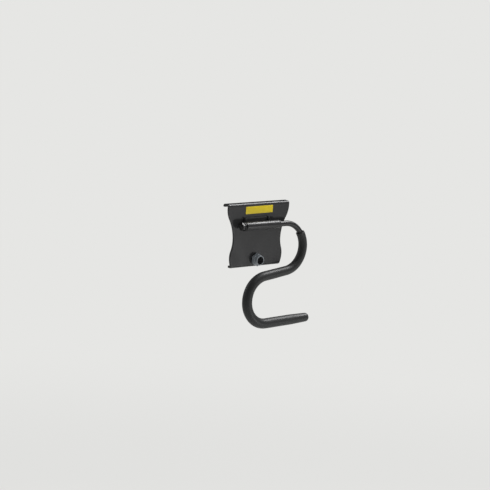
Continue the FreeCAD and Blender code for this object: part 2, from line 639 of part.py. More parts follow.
def make_grip_sleeve():
    """The soft sleeve: a pipe along the hook, a narrowing closed tip, and the rod's bore."""
    body = new_body("grip_sleeve", x=TAPER_X, y=PIVOT_Y, z=TAPER_Z)
    body.Placement.Rotation = FreeCAD.Rotation(Vector(0, 1, 0), -number(ARM_RISE))
    body.setExpression("Placement.Rotation.Angle", f"-{ARM_RISE}")
    path = new_sketch(body, "XZ_Plane", "sleeve_path")
    add_sleeve_path(path)
    section = new_sketch(body, "YZ_Plane", "sleeve_section")
    add_circle(section, "outside", "dims.sleeve_diameter")
    add_pipe(body, "Additive", "sleeve_wall", section, path)
    tip = new_sketch(body, "XZ_Plane", "tip_outline")
    add_polyline(tip, [
        ("0", "0"),
        ("dims.sleeve_taper", "0"),
        ("dims.sleeve_taper", "dims.tip_diameter / 2"),
        ("0", "dims.sleeve_diameter / 2"),
    ])
    turned_tip = body.newObject("PartDesign::Revolution", "turned_tip")
    turned_tip.Profile = tip
    turned_tip.ReferenceAxis = (tip, ["H_Axis"])
    tip.Visibility = False
    doc.recompute()
    end = size("tip_diameter") / 2
    rim = edges_where(turned_tip, lambda edge: is_circle(edge, end))
    rounded = dress(body, "Fillet", "tip_rounding", turned_tip, rim, "dims.tip_round")
    doc.recompute()
    bore_path = new_sketch(body, "XZ_Plane", "bore_path")
    add_sleeve_path(bore_path)
    bore_section = new_sketch(body, "YZ_Plane", "bore_section")
    bore = "dims.rod_diameter + 2 * dims.sleeve_clearance"
    add_circle(bore_section, "bore", bore)
    add_pipe(body, "Subtractive", "bore", bore_section, bore_path)
    arm_section = new_sketch(body, "YZ_Plane", "arm_bore_section")
    add_circle(arm_section, "arm_bore", bore)
    depth = "dims.sleeve_taper - dims.tip_cover + dims.sleeve_clearance"
    arm_bore = pocket(body, arm_section, "arm_bore", depth, backwards=True)
    doc.recompute()
    if arm_bore.Shape.Volume >= rounded.Shape.Volume:
        raise RuntimeError("the sleeve's bore removed nothing")
    return body


def add_hexagon(sketch, flats, corner_up):
    """A hexagon round the sketch's origin, with a corner or a flat uppermost."""
    corner = f"({flats} / sqrt(3))"
    half = f"({flats} / 2)"
    ring = [
        ("0", corner),
        (f"-{half}", f"{corner} / 2"),
        (f"-{half}", f"-{corner} / 2"),
        ("0", f"-{corner}"),
        (half, f"-{corner} / 2"),
        (half, f"{corner} / 2"),
    ]
    if not corner_up:
        ring = [(across, up) for up, across in ring]
    return add_polyline(sketch, ring)


def make_ring(label, role, outside, bore, thickness, backwards, **where):
    """A flat ring, such as a washer, along one of the body's axes."""
    body = new_body(label, **where)
    section = new_sketch(body, role, f"{label}_section")
    add_circle(section, "outside", outside)
    add_circle(section, "bore", bore)
    pad(body, section, f"{label}_disc", thickness, backwards=backwards)
    return body


def make_retaining_washer():
    bore = "dims.stud_diameter + 2 * dims.washer_clearance"
    return make_ring("retaining_washer", "YZ_Plane", "dims.washer_diameter", bore,
                     "dims.washer_thickness", True, x=SHOULDER_X, y=PIVOT_Y, z=PIVOT_Z)


def make_retaining_nut():
    """Hexagon nut on the rod's stud, with a flat uppermost."""
    body = new_body("retaining_nut", x=NUT_X, y=PIVOT_Y, z=PIVOT_Z)
    outline = new_sketch(body, "YZ_Plane", "nut_outline")
    add_hexagon(outline, "dims.nut_flats", corner_up=False)
    pad(body, outline, "nut_block", "dims.nut_height")
    hole_sketch = new_sketch(body, "YZ_Plane", "nut_hole_sketch")
    add_circle(hole_sketch, "hole", "dims.stud_diameter + 2 * dims.thread_clearance")
    pocket(body, hole_sketch, "nut_hole")
    return body


def make_lock_knob():
    """Moulded knob: a hexagon, a round collar with a blind hole in front, and a shaft behind."""
    body = new_body("lock_knob", y="-dims.sheet_thickness - dims.knob_gap", z=LOCK_Z)
    outline = new_sketch(body, "XZ_Plane", "hexagon_outline")
    add_hexagon(outline, "dims.knob_flats", corner_up=True)
    hexagon = pad(body, outline, "hexagon", "dims.knob_height")
    outer_edges = edges_where(hexagon, lambda edge: edge.CenterOfMass.y < -size("knob_round"))
    dress(body, "Fillet", "hexagon_rounding", hexagon, outer_edges, "dims.knob_round")
    doc.recompute()
    collar_sketch = new_sketch(body, "XZ_Plane", "collar_sketch", offset="dims.knob_height")
    add_circle(collar_sketch, "collar", "dims.collar_diameter")
    collar = pad(body, collar_sketch, "collar", "dims.collar_height")
    front = -number("dims.knob_height + dims.collar_height")
    rim = edges_where(collar, lambda edge: abs(edge.CenterOfMass.y - front) < 1e-6)
    rounded = dress(body, "Fillet", "collar_rounding", collar, rim, "dims.collar_round")
    doc.recompute()
    front_offset = "dims.knob_height + dims.collar_height"
    recess_sketch = new_sketch(body, "XZ_Plane", "recess_sketch", offset=front_offset)
    add_circle(recess_sketch, "recess", "dims.recess_diameter")
    recess = pocket(body, recess_sketch, "recess", "dims.recess_depth")
    doc.recompute()
    spigot_sketch = new_sketch(body, "XZ_Plane", "spigot_sketch")
    add_circle(spigot_sketch, "spigot", "dims.spigot_diameter")
    spigot_length = "dims.knob_gap + dims.sheet_thickness + dims.tongue_gap"
    pad(body, spigot_sketch, "spigot", spigot_length, backwards=True)
    drive_sketch = new_sketch(body, "XZ_Plane", "drive_sketch", offset=f"-({spigot_length})")
    half = "dims.drive_flats / 2"
    add_box_outline(drive_sketch, f"-{half}", half, f"-{half}", half)
    drive_length = "dims.tongue_thickness - dims.drive_recess"
    drive = pad(body, drive_sketch, "square_end", drive_length, backwards=True)
    back_offset = f"-({spigot_length} + {drive_length})"
    pilot_sketch = new_sketch(body, "XZ_Plane", "pilot_sketch", offset=back_offset)
    add_circle(pilot_sketch, "pilot", "dims.lock_screw_diameter + 2 * dims.thread_clearance")
    pilot_depth = (
        "dims.screw_length - dims.lock_washer_thickness - dims.drive_recess + dims.pilot_relief"
    )
    pilot = pocket(body, pilot_sketch, "pilot_hole", pilot_depth, backwards=True)
    doc.recompute()
    if recess.Shape.Volume >= rounded.Shape.Volume or pilot.Shape.Volume >= drive.Shape.Volume:
        raise RuntimeError("a hole in the knob removed nothing")
    return body


def make_lock_tongue():
    """Tongue behind the plate: round below the lock's axis and square-cornered above it."""
    body = new_body("lock_tongue", y="dims.tongue_gap", z=LOCK_Z)
    outline = new_sketch(body, "XZ_Plane", "tongue_outline")
    half = size("tongue_width") / 2
    reach = size("tongue_reach")
    hub = outline.addGeometry(arc_between(Vector(0, 0, 0), half, 180, 360))
    right = outline.addGeometry(Part.LineSegment(Vector(half, 0, 0), Vector(half, reach, 0)))
    end = outline.addGeometry(Part.LineSegment(Vector(half, reach, 0), Vector(-half, reach, 0)))
    left = outline.addGeometry(Part.LineSegment(Vector(-half, reach, 0), Vector(-half, 0, 0)))
    outline.addConstraint(Sketcher.Constraint("Coincident", hub, 3, -1, 1))
    outline.addConstraint(Sketcher.Constraint("Tangent", hub, 2, right, 1))
    outline.addConstraint(Sketcher.Constraint("Coincident", right, 2, end, 1))
    outline.addConstraint(Sketcher.Constraint("Coincident", end, 2, left, 1))
    outline.addConstraint(Sketcher.Constraint("Tangent", left, 2, hub, 1))
    outline.addConstraint(Sketcher.Constraint("Vertical", right))
    outline.addConstraint(Sketcher.Constraint("Horizontal", end))
    measure(outline, "half_width", "dims.tongue_width / 2", "Radius", hub)
    measure(outline, "reach", "dims.tongue_reach", "DistanceY", -1, 1, right, 2)
    blank = pad(body, outline, "tongue_blank", "dims.tongue_thickness", backwards=True)
    thickness = size("tongue_thickness")

    def is_end_corner(edge):
        at_end = abs(edge.CenterOfMass.z - reach) < 1e-6
        return at_end and abs(edge.Length - thickness) < 1e-6

    corners = edges_where(blank, is_end_corner)
    dress(body, "Fillet", "tongue_corners", blank, corners, "dims.tongue_corner")
    doc.recompute()
    socket_sketch = new_sketch(body, "XZ_Plane", "square_hole_sketch")
    side = "(dims.drive_flats / 2 + dims.drive_clearance)"
    add_box_outline(socket_sketch, f"-{side}", side, f"-{side}", side)
    pocket(body, socket_sketch, "square_hole")
    return body


def make_lock_washer():
    bore = "dims.lock_screw_diameter + 2 * dims.washer_clearance"
    return make_ring("lock_washer", "XZ_Plane", "dims.lock_washer_diameter", bore,
                     "dims.lock_washer_thickness", True, y=LOCK_WASHER_Y, z=LOCK_Z)


def make_lock_screw():
    """Slotted pan-head screw, driven from behind into the knob's shaft."""
    body = new_body("lock_screw", y=SCREW_SEAT_Y, z=LOCK_Z)
    head_sketch = new_sketch(body, "XZ_Plane", "head_sketch")
    add_circle(head_sketch, "head", "dims.screw_head_diameter")
    head = pad(body, head_sketch, "head", "dims.screw_head_height", backwards=True)
    back = size("screw_head_height")
    rim = edges_where(head, lambda edge: abs(edge.CenterOfMass.y - back) < 1e-6)
    dress(body, "Fillet", "head_rounding", head, rim, "dims.screw_head_height / 3")
    doc.recompute()
    shank_sketch = new_sketch(body, "XZ_Plane", "shank_sketch")
    add_circle(shank_sketch, "shank", "dims.lock_screw_diameter")
    shank = pad(body, shank_sketch, "shank", "dims.screw_length")
    slot_sketch = new_sketch(body, "XZ_Plane", "slot_sketch", offset="-dims.screw_head_height")
    across = "dims.screw_head_diameter"
    add_box_outline(slot_sketch, f"-{across}", across, "-dims.screw_slot / 2", "dims.screw_slot / 2")
    slot = pocket(body, slot_sketch, "slot", "dims.slot_depth", backwards=True)
    doc.recompute()
    if slot.Shape.Volume >= shank.Shape.Volume:
        raise RuntimeError("the screw's slot removed nothing")
    return body


def check_document():
    """Stop if any object failed, because a recompute leaves that unsaid."""
    for item in doc.Objects:
        if "Invalid" in item.State or "Error" in item.State:
            raise RuntimeError(f"{item.Label} failed: {item.State}")


def write_piece(piece):
    """Write one piece, and turn the rod and its sleeve outward about the tube's axis first."""
    shape = piece.Shape.copy()
    if piece.Label in HANGING:
        axis_point = Vector(0, number(PIVOT_Y), number(PIVOT_Z))
        shape.rotate(axis_point, Vector(-1, 0, 0), size("rest_angle"))
    if shape.isNull() or not shape.isValid() or len(shape.Solids) != 1:
        raise RuntimeError(f"{piece.Label} is not one valid solid")
    shape.exportStep(os.path.join("parts", f"{piece.Label}.step"))


fill_sheet()
pieces = [
    make_back_plate(),
    make_label(),
    make_tube(),
    make_cradle(),
    make_hook_rod(),
    make_grip_sleeve(),
    make_retaining_washer(),
    make_retaining_nut(),
    make_lock_knob(),
    make_lock_tongue(),
    make_lock_washer(),
    make_lock_screw(),
]
doc.recompute()
check_document()
os.makedirs("parts", exist_ok=True)
for piece in pieces:
    write_piece(piece)
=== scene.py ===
"""Dressed model of a garage utility hook: a folded plate with a pivot tube, a swinging S-shaped
hook in a soft sleeve, a bare label and a turning lock.

Everything is in metres in the frame's own axes: X to the right, Y into the wall and Z up.
"""
import json
import math

import bpy
import numpy as np
from bpy.props import FloatProperty, PointerProperty, StringProperty
from mathutils import Matrix, Vector


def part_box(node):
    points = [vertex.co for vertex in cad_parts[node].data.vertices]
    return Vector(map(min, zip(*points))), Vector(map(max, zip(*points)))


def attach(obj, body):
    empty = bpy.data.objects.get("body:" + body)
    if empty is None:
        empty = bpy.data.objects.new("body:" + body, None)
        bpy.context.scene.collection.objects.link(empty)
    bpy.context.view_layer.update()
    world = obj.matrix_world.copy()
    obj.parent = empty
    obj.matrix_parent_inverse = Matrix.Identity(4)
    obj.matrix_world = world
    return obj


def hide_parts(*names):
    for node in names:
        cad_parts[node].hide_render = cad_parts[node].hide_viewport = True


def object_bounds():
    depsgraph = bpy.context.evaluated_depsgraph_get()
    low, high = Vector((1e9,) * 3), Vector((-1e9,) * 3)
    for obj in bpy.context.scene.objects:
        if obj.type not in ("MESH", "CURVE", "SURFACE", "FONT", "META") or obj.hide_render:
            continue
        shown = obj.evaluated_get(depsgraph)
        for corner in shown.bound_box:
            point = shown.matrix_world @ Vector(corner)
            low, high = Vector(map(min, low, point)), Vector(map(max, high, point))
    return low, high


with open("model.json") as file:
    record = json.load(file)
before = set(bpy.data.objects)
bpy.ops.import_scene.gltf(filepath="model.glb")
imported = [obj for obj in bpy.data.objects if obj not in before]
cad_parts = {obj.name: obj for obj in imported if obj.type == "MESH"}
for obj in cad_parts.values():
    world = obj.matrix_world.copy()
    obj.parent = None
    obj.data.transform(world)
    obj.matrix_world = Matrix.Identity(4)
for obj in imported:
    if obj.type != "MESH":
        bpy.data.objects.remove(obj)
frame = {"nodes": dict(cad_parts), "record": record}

bl_info = {
    "name": "Utility Hook",
    "version": (1, 0, 0),
    "blender": (4, 5, 0),
    "location": "3D View > Sidebar > Utility Hook",
    "description": "Builds the dressed pieces of a garage utility hook round its frame",
    "category": "Object",
}

MM = 0.001
# The colour behind everything
PALE = "#e6e6e4"
# The directions in which the turned pieces grow from their centres
TO_RIGHT = (1, 0, 0)
TO_FRONT = (0, -1, 0)
# The box of the plain model, before any piece is added
CAD_BOX = [[float(value) for value in corner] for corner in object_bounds()]


def joint_place(name):
    """Where a joint of the record turns, as a vector."""
    joints = frame["record"]["behaviour"]["joints"]
    return Vector(next(joint["pos_m"] for joint in joints if joint["name"] == name))


PLATE_LOW, PLATE_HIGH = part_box("back_plate")
LABEL_LOW, LABEL_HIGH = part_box("label_plate")
TUBE_LOW, TUBE_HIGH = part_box("pivot_tube")
CRADLE_LOW, CRADLE_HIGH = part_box("tube_cradle")
NUT_LOW, NUT_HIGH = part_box("retaining_nut")
KNOB_LOW, KNOB_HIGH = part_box("lock_knob")
TONGUE_LOW, TONGUE_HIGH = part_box("lock_tongue")
PIVOT = joint_place("hook_swing")
LOCK = joint_place("lock_turn")


# Sizes and colours

def length(name, description, millimetres):
    """A length property, given in millimetres and kept in metres."""
    return FloatProperty(
        name=name, description=description, default=millimetres * MM, min=0.0,
        precision=5, subtype="DISTANCE", unit="LENGTH",
    )


def angle(name, description, degrees):
    """An angle property, given in degrees and kept in radians."""
    return FloatProperty(
        name=name, description=description, default=math.radians(degrees),
        subtype="ANGLE", unit="ROTATION",
    )


def ratio(name, description, value):
    """A property between nought and one."""
    return FloatProperty(name=name, description=description, default=value, min=0.0, max=1.0)


def colour(name, description, code):
    """A colour property, as a six-figure sRGB code."""
    return StringProperty(name=name, description=description, default=code, maxlen=7)


class PlateSettings(bpy.types.PropertyGroup):
    """The folded plate, its label and the tube on its front."""

    sheet: length("Sheet", "Thickness of the plate's steel", 3.0)
    fold: length("Fold", "Outside radius of each fold", 3.5)
    lip_drop: length("Lip drop", "Turned-down end of the lip, from its top", 4.6)
    waist_width: length("Waist width", "Width at the narrowest place", 87.2)
    bulge_swell: length("Bulge swell", "How far each side swells again below the waist", 4.4)
    shoulder_drop: length("Shoulder drop", "Straight upper edge of each side", 6.0)
    waist_drop: length("Waist drop", "Waist below the top", 52.7)
    bulge_rise: length("Bulge rise", "Bulge above the bottom edge", 15.6)
    shoulder_share: ratio("Shoulder share", "Shoulder's part of its two arcs' radii", 0.35)
    hollow_share: ratio("Hollow share", "Hollow's part of its two arcs' radii", 0.6)
    leg_radius: length("Leg radius", "Curve of each side below the bulge", 34.0)
    foot_corner: length("Foot corner", "Bottom corners, seen from the front", 3.0)
    foot_depth: length("Foot depth", "Bottom flange behind the plate's back", 5.5)
    free_corner: length("Free corner", "Corner radius of the lip's and foot's ends", 1.5)
    edge: length("Edge", "Rounding of the sheet's cut edges", 0.5)
    hole: length("Lock hole", "Radius of the hole for the lock's shaft", 5.8)
    label_width: length("Label width", "Width of the bare label", 49.8)
    label_height: length("Label height", "Height of the bare label", 10.5)
    label_tilt: angle("Label tilt", "How askew the label is stuck", 0.4)
    tube_bore: length("Tube bore", "Radius of the tube's bore", 4.35)
    coat: colour("Coat colour", "Powder coat of the plate and tube", "#262627")
    label: colour("Label colour", "Yellow of the bare label", "#dcc424")


class HookSettings(bpy.types.PropertyGroup):
    """The bent rod and the soft sleeve over it."""

    rod: length("Rod", "Radius of the rod", 4.0)
    stud: length("Stud", "Radius of the rod's threaded end", 3.0)
    stud_length: length("Stud length", "Threaded end beyond the rod's shoulder", 6.3)
    pitch: length("Pitch", "Distance from one thread to the next", 1.0)
    end_play: length("End play", "Gap between the tube's end and the rod's shoulder", 0.3)
    lead: length("Lead", "Straight rod from the tube's end to the first bend", 14.8)
    bend: length("Bend", "Radius of both bends at the rod's centre", 34.5)
    upper_turn: angle("Upper turn", "Angle of the upper bend", 173.0)
    middle: length("Middle run", "Straight stretch between the bends", 40.8)
    lower_turn: angle("Lower turn", "Angle of the lower bend", 174.3)
    arm: length("Arm", "Straight arm up to the sleeve's tip", 81.0)
    rest: angle("Rest", "How far the hook hangs out from the plate", 2.2)
    sleeve: length("Sleeve", "Radius of the sleeve where the arm starts", 7.3)
    neck: length("Neck", "Radius of the sleeve at its mouth", 6.15)
    swollen: length("Swollen", "Length over which the sleeve widens from its mouth", 220.0)
    bore: length("Sleeve bore", "Radius of the sleeve's bore", 4.2)
    mouth: angle("Mouth", "Where the sleeve starts along the upper bend", 54.0)
    slant: length("Slant", "How far the sleeve's cut end leans to each side", 1.2)
    taper: length("Taper", "Length over which the sleeve narrows", 42.0)
    tip: length("Tip", "Radius of the sleeve at its tip", 6.1)
    tip_round: length("Tip rounding", "Rounding of the sleeve's tip", 5.0)
    cover: length("Cover", "Closed end of the sleeve past the rod", 7.0)
    sleeve_colour: colour("Sleeve colour", "Soft sleeve", "#242525")
    nut_turn: angle("Nut turn", "How far the nut's corner stands from the top", 8.0)
    rod_colour: colour("Rod colour", "Coated rod and nut", "#1b1b1c")
    zinc: colour("Zinc colour", "Plated washer and screw of the lock", "#8d9094")


class LockSettings(bpy.types.PropertyGroup):
    """The turning lock under the tube."""

    flats: length("Flats", "Hexagon across its flats", 16.2)
    hexagon: length("Hexagon", "Height of the hexagon", 4.6)
    corner: length("Corner", "Rounding of the hexagon's corners", 0.7)
    collar: length("Collar", "Radius of the collar", 7.35)
    recess: length("Recess", "Radius of the hole in the knob's front", 5.5)
    recess_depth: length("Recess depth", "Depth of that hole", 7.4)
    shaft: length("Shaft", "Radius of the shaft through the plate", 5.5)
    tongue_corner: length("Tongue corner", "Corner radius of the tongue's end", 1.5)
    knob: colour("Knob colour", "Moulded knob", "#747a7f")
    tongue: colour("Tongue colour", "Moulded tongue behind the plate", "#2c2d2f")


class StageSettings(bpy.types.PropertyGroup):
    """Floor, light and camera."""

    floor_gap: length("Floor gap", "Floor below the hook", 900.0)
    floor: colour("Floor colour", "Plain pale floor", "#dededc")
    azimuth: angle("Azimuth", "How far the camera stands to the left of the front", 40.764)
    rise: angle("Rise", "How far the camera looks down", 10.479)
    roll: angle("Roll", "How far the picture is turned", 3.818)
    distance: length("Distance", "Camera from the point it looks at", 2380.0)


# Colours and materials

def linear(code):
    """The linear colour of an sRGB code such as #3e3e3e."""
    levels = [int(code[place:place + 2], 16) / 255 for place in (1, 3, 5)]
    bend = [c / 12.92 if c <= 0.04045 else ((c + 0.055) / 1.055) ** 2.4 for c in levels]
    return (*bend, 1.0)


def shade(code, factor):
    """The linear colour of a code, made lighter or darker by a factor."""
    return (*(min(1.0, part * factor) for part in linear(code)[:3]), 1.0)


def per_mm(size_mm):
    """The scale that makes a pattern's features about this many millimetres long."""
    return 1.0 / (size_mm * MM)


def add_node(tree, kind, inputs=None, **settings):
    """Add a shader node with its settings. Each input is a value or the socket that feeds it."""
    node = tree.nodes.new("ShaderNode" + kind)
    for name, value in settings.items():
        setattr(node, name, value)
    for name, value in (inputs or {}).items():
        if isinstance(value, bpy.types.NodeSocket):
            tree.links.new(value, node.inputs[name])
        else:
            node.inputs[name].default_value = value
    return node


class Surface:
    """A Principled material built up from patterns round one colour. Its constants are set on
    the shader's own sockets."""

    def __init__(self, name, code, **constants):
        self.material = bpy.data.materials.new(name)
        self.material.use_nodes = True
        self.tree = self.material.node_tree
        self.tree.nodes.clear()
        self.code = code
        self.tone = None
        self.shader = self.add("BsdfPrincipled", constants)
        self.output = self.add("OutputMaterial", {"Surface": self.shader.outputs[0]})
        self.place = self.add("TexCoord").outputs["Object"]

    def add(self, kind, inputs=None, **settings):
        """Add a shader node to this material."""
        return add_node(self.tree, kind, inputs, **settings)

    def cloud(self, size_mm, detail=2.0, roughness=0.5, place=None):
        """Noise with features of a given size."""
        noise = self.add("TexNoise", {
            "Vector": place or self.place, "Scale": per_mm(size_mm), "Detail": detail,
            "Roughness": roughness,
        })
        return noise.outputs["Fac"]

    def stretched(self, along, place=None):
        """Coordinates that draw a pattern out along an axis."""
        scaled = self.add("Mapping", {"Vector": place or self.place, "Scale": along})
        return scaled.outputs["Vector"]

    def along_the_hook(self, along):
        """The UV map that holds metres along the hook and round it, drawn out lengthwise."""
        line = self.add("UVMap", uv_map="along_the_hook").outputs["UV"]
        return self.stretched((along, 1.0, 1.0), line)

    def spread(self, source, low, high):
        """A noise value from about 0.3 to 0.7, stretched to run from low to high."""
        ranged = self.add("MapRange", {
            "Value": source, "From Min": 0.3, "From Max": 0.7, "To Min": low, "To Max": high,
        })
        return ranged.outputs["Result"]

    def blend(self, share, first, second):
        """Let the surface's tone lie between two colours, by a share."""
        mixed = self.add("Mix", {0: share, 6: first, 7: second}, data_type="RGBA")
        self.tone = mixed.outputs[2]
        self.tree.links.new(self.tone, self.shader.inputs["Base Color"])

    def tint(self, pattern, low, high):
        """Let the colour run from one shade of the code to another with a pattern."""
        self.blend(self.spread(pattern, 0, 1), shade(self.code, low), shade(self.code, high))

    def fleck(self, pattern, share, factor):
        """Lay another shade of the code over the tone with a pattern, up to a share."""
        self.blend(self.spread(pattern, 0, share), self.tone, shade(self.code, factor))

    def roughen(self, pattern, low, high):
        """Let the roughness run from low to high with a pattern."""
        self.tree.links.new(self.spread(pattern, low, high), self.shader.inputs["Roughness"])

    def bump(self, pattern, strength, depth_mm):
        """Raise the surface by a pattern, over the bumps that it already has."""
        normal = self.shader.inputs["Normal"]
        feeds = {"Height": pattern, "Strength": strength, "Distance": depth_mm * MM}
        if normal.is_linked:
            feeds["Normal"] = normal.links[0].from_socket
        self.tree.links.new(self.add("Bump", feeds).outputs["Normal"], normal)


def powder_coated_steel(name, code):
    """Polyester powder, sprayed and baked. It is dark and semi-gloss, with a faint orange peel
    that breaks up its highlights, and cloudy patches where the coat is thicker."""
    coat = Surface(name, code, **{"IOR": 1.5, "Specular IOR Level": 0.34})
    patches = coat.cloud(22.0, detail=3.0)
    # The peel's waves are about 1.2 mm long, and the powder's grain is under half a millimetre.
    peel = coat.cloud(1.2)
    grain = coat.cloud(0.35, detail=1.0)
    coat.tint(patches, 0.86, 1.14)
    coat.fleck(grain, 0.35, 1.5)
    coat.roughen(patches, 0.36, 0.47)
    coat.bump(peel, 0.2, 0.06)
    coat.bump(grain, 0.15, 0.02)
    return coat.material


def dipped_vinyl(name, code):
    """Plasticised PVC, dipped or extruded and slipped over the rod. It is soft and nearly matte,
    with fine lengthwise drag lines, a dusty bloom and a skin that is faintly uneven."""
    vinyl = Surface(name, code, **{"IOR": 1.5, "Specular IOR Level": 0.3, "Sheen Weight": 0.03,
                                   "Sheen Roughness": 0.6})
    drag = vinyl.cloud(0.9, place=vinyl.along_the_hook(0.06))
    skin = vinyl.cloud(0.5)
    wave = vinyl.cloud(9.0, detail=1.0)
    bloom = vinyl.cloud(16.0, detail=4.0, roughness=0.6)
    vinyl.tint(bloom, 0.85, 1.22)
    vinyl.fleck(drag, 0.4, 1.6)
    vinyl.roughen(bloom, 0.44, 0.56)
    vinyl.bump(wave, 0.25, 0.2)
    vinyl.bump(drag, 0.22, 0.05)
    vinyl.bump(skin, 0.3, 0.03)
    return vinyl.material


def coated_rod(name, code):
    """Cold-drawn steel under a thin black coat. The draw lines along the bar still show through
    as faint streaks, and the coat is glossier than powder."""
    rod = Surface(name, code, **{"IOR": 1.5, "Specular IOR Level": 0.4})
    drawn = rod.cloud(0.6, place=rod.along_the_hook(0.03))
    patches = rod.cloud(7.0, detail=3.0)
    rod.tint(patches, 0.8, 1.25)
    rod.fleck(drawn, 0.4, 1.9)
    rod.roughen(patches, 0.38, 0.5)
    rod.bump(drawn, 0.3, 0.03)
    rod.bump(patches, 0.1, 0.1)
    return rod.material


def turned_steel(name, code, blotch_mm, shades, roughness, depth_mm, **constants):
    """Steel turned on a lathe, with fine tool marks under a blotchy skin."""
    steel = Surface(name, code, **constants)
    blotches = steel.cloud(blotch_mm, detail=4.0, roughness=0.6)
    marks = steel.cloud(1.2, place=steel.stretched((6.0, 1.0, 1.0)))
    steel.tint(blotches, *shades)
    steel.roughen(blotches, *roughness)
    steel.bump(marks, 0.25, 0.04)
    steel.bump(blotches, 0.12, depth_mm)
    return steel.material


def zinc_plated_steel(name, code):
    """Bright zinc that has dulled. It is a grey metal, and its blotches are a white bloom that is
    rougher than the bare zinc."""
    return turned_steel(name, code, 2.5, (0.75, 1.2), (0.3, 0.5), 0.05, Metallic=1.0)


def blackened_steel(name, code):
    """A black oxide skin under oil. It is almost black and semi-gloss, and its blotches are grey
    where it is rubbed."""
    return turned_steel(name, code, 2.0, (0.8, 1.7), (0.4, 0.52), 0.04,
                        **{"IOR": 1.5, "Specular IOR Level": 0.35, "Metallic": 0.1})


def moulded_nylon(name, code, roughness, painted_shade_radius=0.0):
    """Glass-filled nylon from a mould with a spark-eroded texture. It is satin and slightly
    cloudy, with a fine even grain and pale flow marks. Within the painted shade's radius of the
    lock's axis, in the knob's blind hole, its colour is painted dark as the shade in the recess."""
    nylon = Surface(name, code, **{
        "IOR": 1.53, "Specular IOR Level": 0.45, "Subsurface Weight": 0.02,
        "Subsurface Radius": (0.001, 0.001, 0.001),
    })
    flow = nylon.cloud(5.0, detail=3.0, place=nylon.stretched((1.0, 0.3, 1.0)))
    # The mould's grain is about a quarter of a millimetre.
    grain = nylon.cloud(0.25)
    nylon.tint(flow, 0.88, 1.14)
    nylon.roughen(grain, roughness - 0.05, roughness + 0.06)
    nylon.bump(grain, 0.35, 0.03)
    nylon.bump(flow, 0.08, 0.1)
    if painted_shade_radius:
        from_axis = nylon.add("VectorMath", {0: nylon.place, 1: (LOCK.x, 0, LOCK.z)},
                              operation="SUBTRACT")
        across = nylon.stretched((1, 0, 1), from_axis.outputs[0])
        reach = nylon.add("VectorMath", {0: across}, operation="LENGTH")
        beyond_painted_shade = nylon.add("MapRange", {
            "Value": reach.outputs["Value"], "From Min": painted_shade_radius, "From Max": painted_shade_radius + 0.3 * MM,
        })
        # Painted shade: near the lock's axis the tone gives way to a dark colour that stands for
        # the hole's shade.
        nylon.blend(beyond_painted_shade.outputs["Result"], linear("#37383a"), nylon.tone)
    return nylon.material


def printed_film(name, code):
    """Yellow vinyl film with a clear laminate. It is even in colour, a little glossier than the
    coat round it, and shows a very slight ripple from the adhesive."""
    film = Surface(name, code, **{"IOR": 1.5, "Specular IOR Level": 0.2, "Coat Weight": 0.05,
                                  "Coat Roughness": 0.25})
    ink = film.cloud(0.4)
    ripple = film.cloud(6.0, detail=1.0)
    film.tint(ink, 0.94, 1.05)
    film.fleck(ripple, 0.4, 0.88)
    film.roughen(ripple, 0.36, 0.46)
    film.bump(ripple, 0.15, 0.08)
    film.bump(ink, 0.1, 0.01)
    return film.material


def painted_board(name, code):
    """Matt emulsion on board for the floor, with a faint roller texture. Far from the hook the
    camera sees the world's own pale colour on it, so no horizon shows."""
    board = Surface(name, code, **{"Specular IOR Level": 0.1, "Roughness": 0.9})
    board.tint(board.cloud(400.0), 0.985, 1.0)
    board.bump(board.cloud(3.0), 0.1, 0.1)
    reach = board.add("VectorMath", {0: board.place}, operation="LENGTH")
    far = board.add("MapRange", {
        "Value": reach.outputs["Value"], "From Min": 0.3, "From Max": 3.5,
    }, interpolation_type="SMOOTHSTEP")
    share = board.add("Math", {
        0: far.outputs["Result"], 1: board.add("LightPath").outputs["Is Camera Ray"],
    }, operation="MULTIPLY")
    glow = board.add("Emission", {"Color": linear(PALE), "Strength": 1.0})
    mixed = board.add("MixShader", {
        0: share.outputs[0], 1: board.shader.outputs[0], 2: glow.outputs[0],
    })
    board.tree.links.new(mixed.outputs[0], board.output.inputs["Surface"])
    return board.material


# Surfaces

def bow(radius, rise):
    """How far an arc reaches beside its centre at a rise above it: sqrt(radius² − rise²)."""
    return np.sqrt(np.maximum(radius ** 2 - rise ** 2, 0))


def full_turn(count):
    """Angles spaced evenly round a circle, from 0."""
    return np.linspace(0, 2 * np.pi, count, endpoint=False)


def right_angle(count):
    """Angles spaced evenly from 0 to a right angle, as a rounded edge needs them."""
    return np.radians(np.linspace(0, 90, count))


def grid_faces(rows, columns, wrap_rows=False):
    """Quads of a grid whose columns close on themselves: each joins a point, its neighbour in the
    row, and the two below them. Rows that wrap join the last row to the first."""
    row = np.arange(rows if wrap_rows else rows - 1)[:, None]
    column = np.arange(columns)[None, :]
    below = (row + 1) % rows
    beside = (column + 1) % columns
    corners = (row * columns + column, row * columns + beside,
               below * columns + beside, below * columns + column)
    return np.stack(np.broadcast_arrays(*corners), axis=-1)


def closed_chain(rings):
    """A surface through rings of equal count, shut at both ends by a pole in the ring's middle."""
    count, sides = rings.shape[:2]
    poles = rings[[0, -1]].mean(axis=1)
    points = np.concatenate([rings.reshape(-1, 3), poles])
    ring = np.arange(sides)
    beside = (ring + 1) % sides
    last = (count - 1) * sides
    start = np.stack([np.full(sides, count * sides), beside, ring], axis=-1)
    finish = np.stack([np.full(sides, count * sides + 1), last + ring, last + beside], axis=-1)
    faces = grid_faces(count, sides).reshape(-1, 4).tolist()
    return points, faces + start.tolist() + finish.tolist()


def ring_loop(rings):
    """A surface through rings whose last one joins the first, such as a tube's wall."""
    count, sides = rings.shape[:2]
    faces = grid_faces(count, sides, wrap_rows=True)
    return rings.reshape(-1, 3), faces.reshape(-1, 4).tolist()


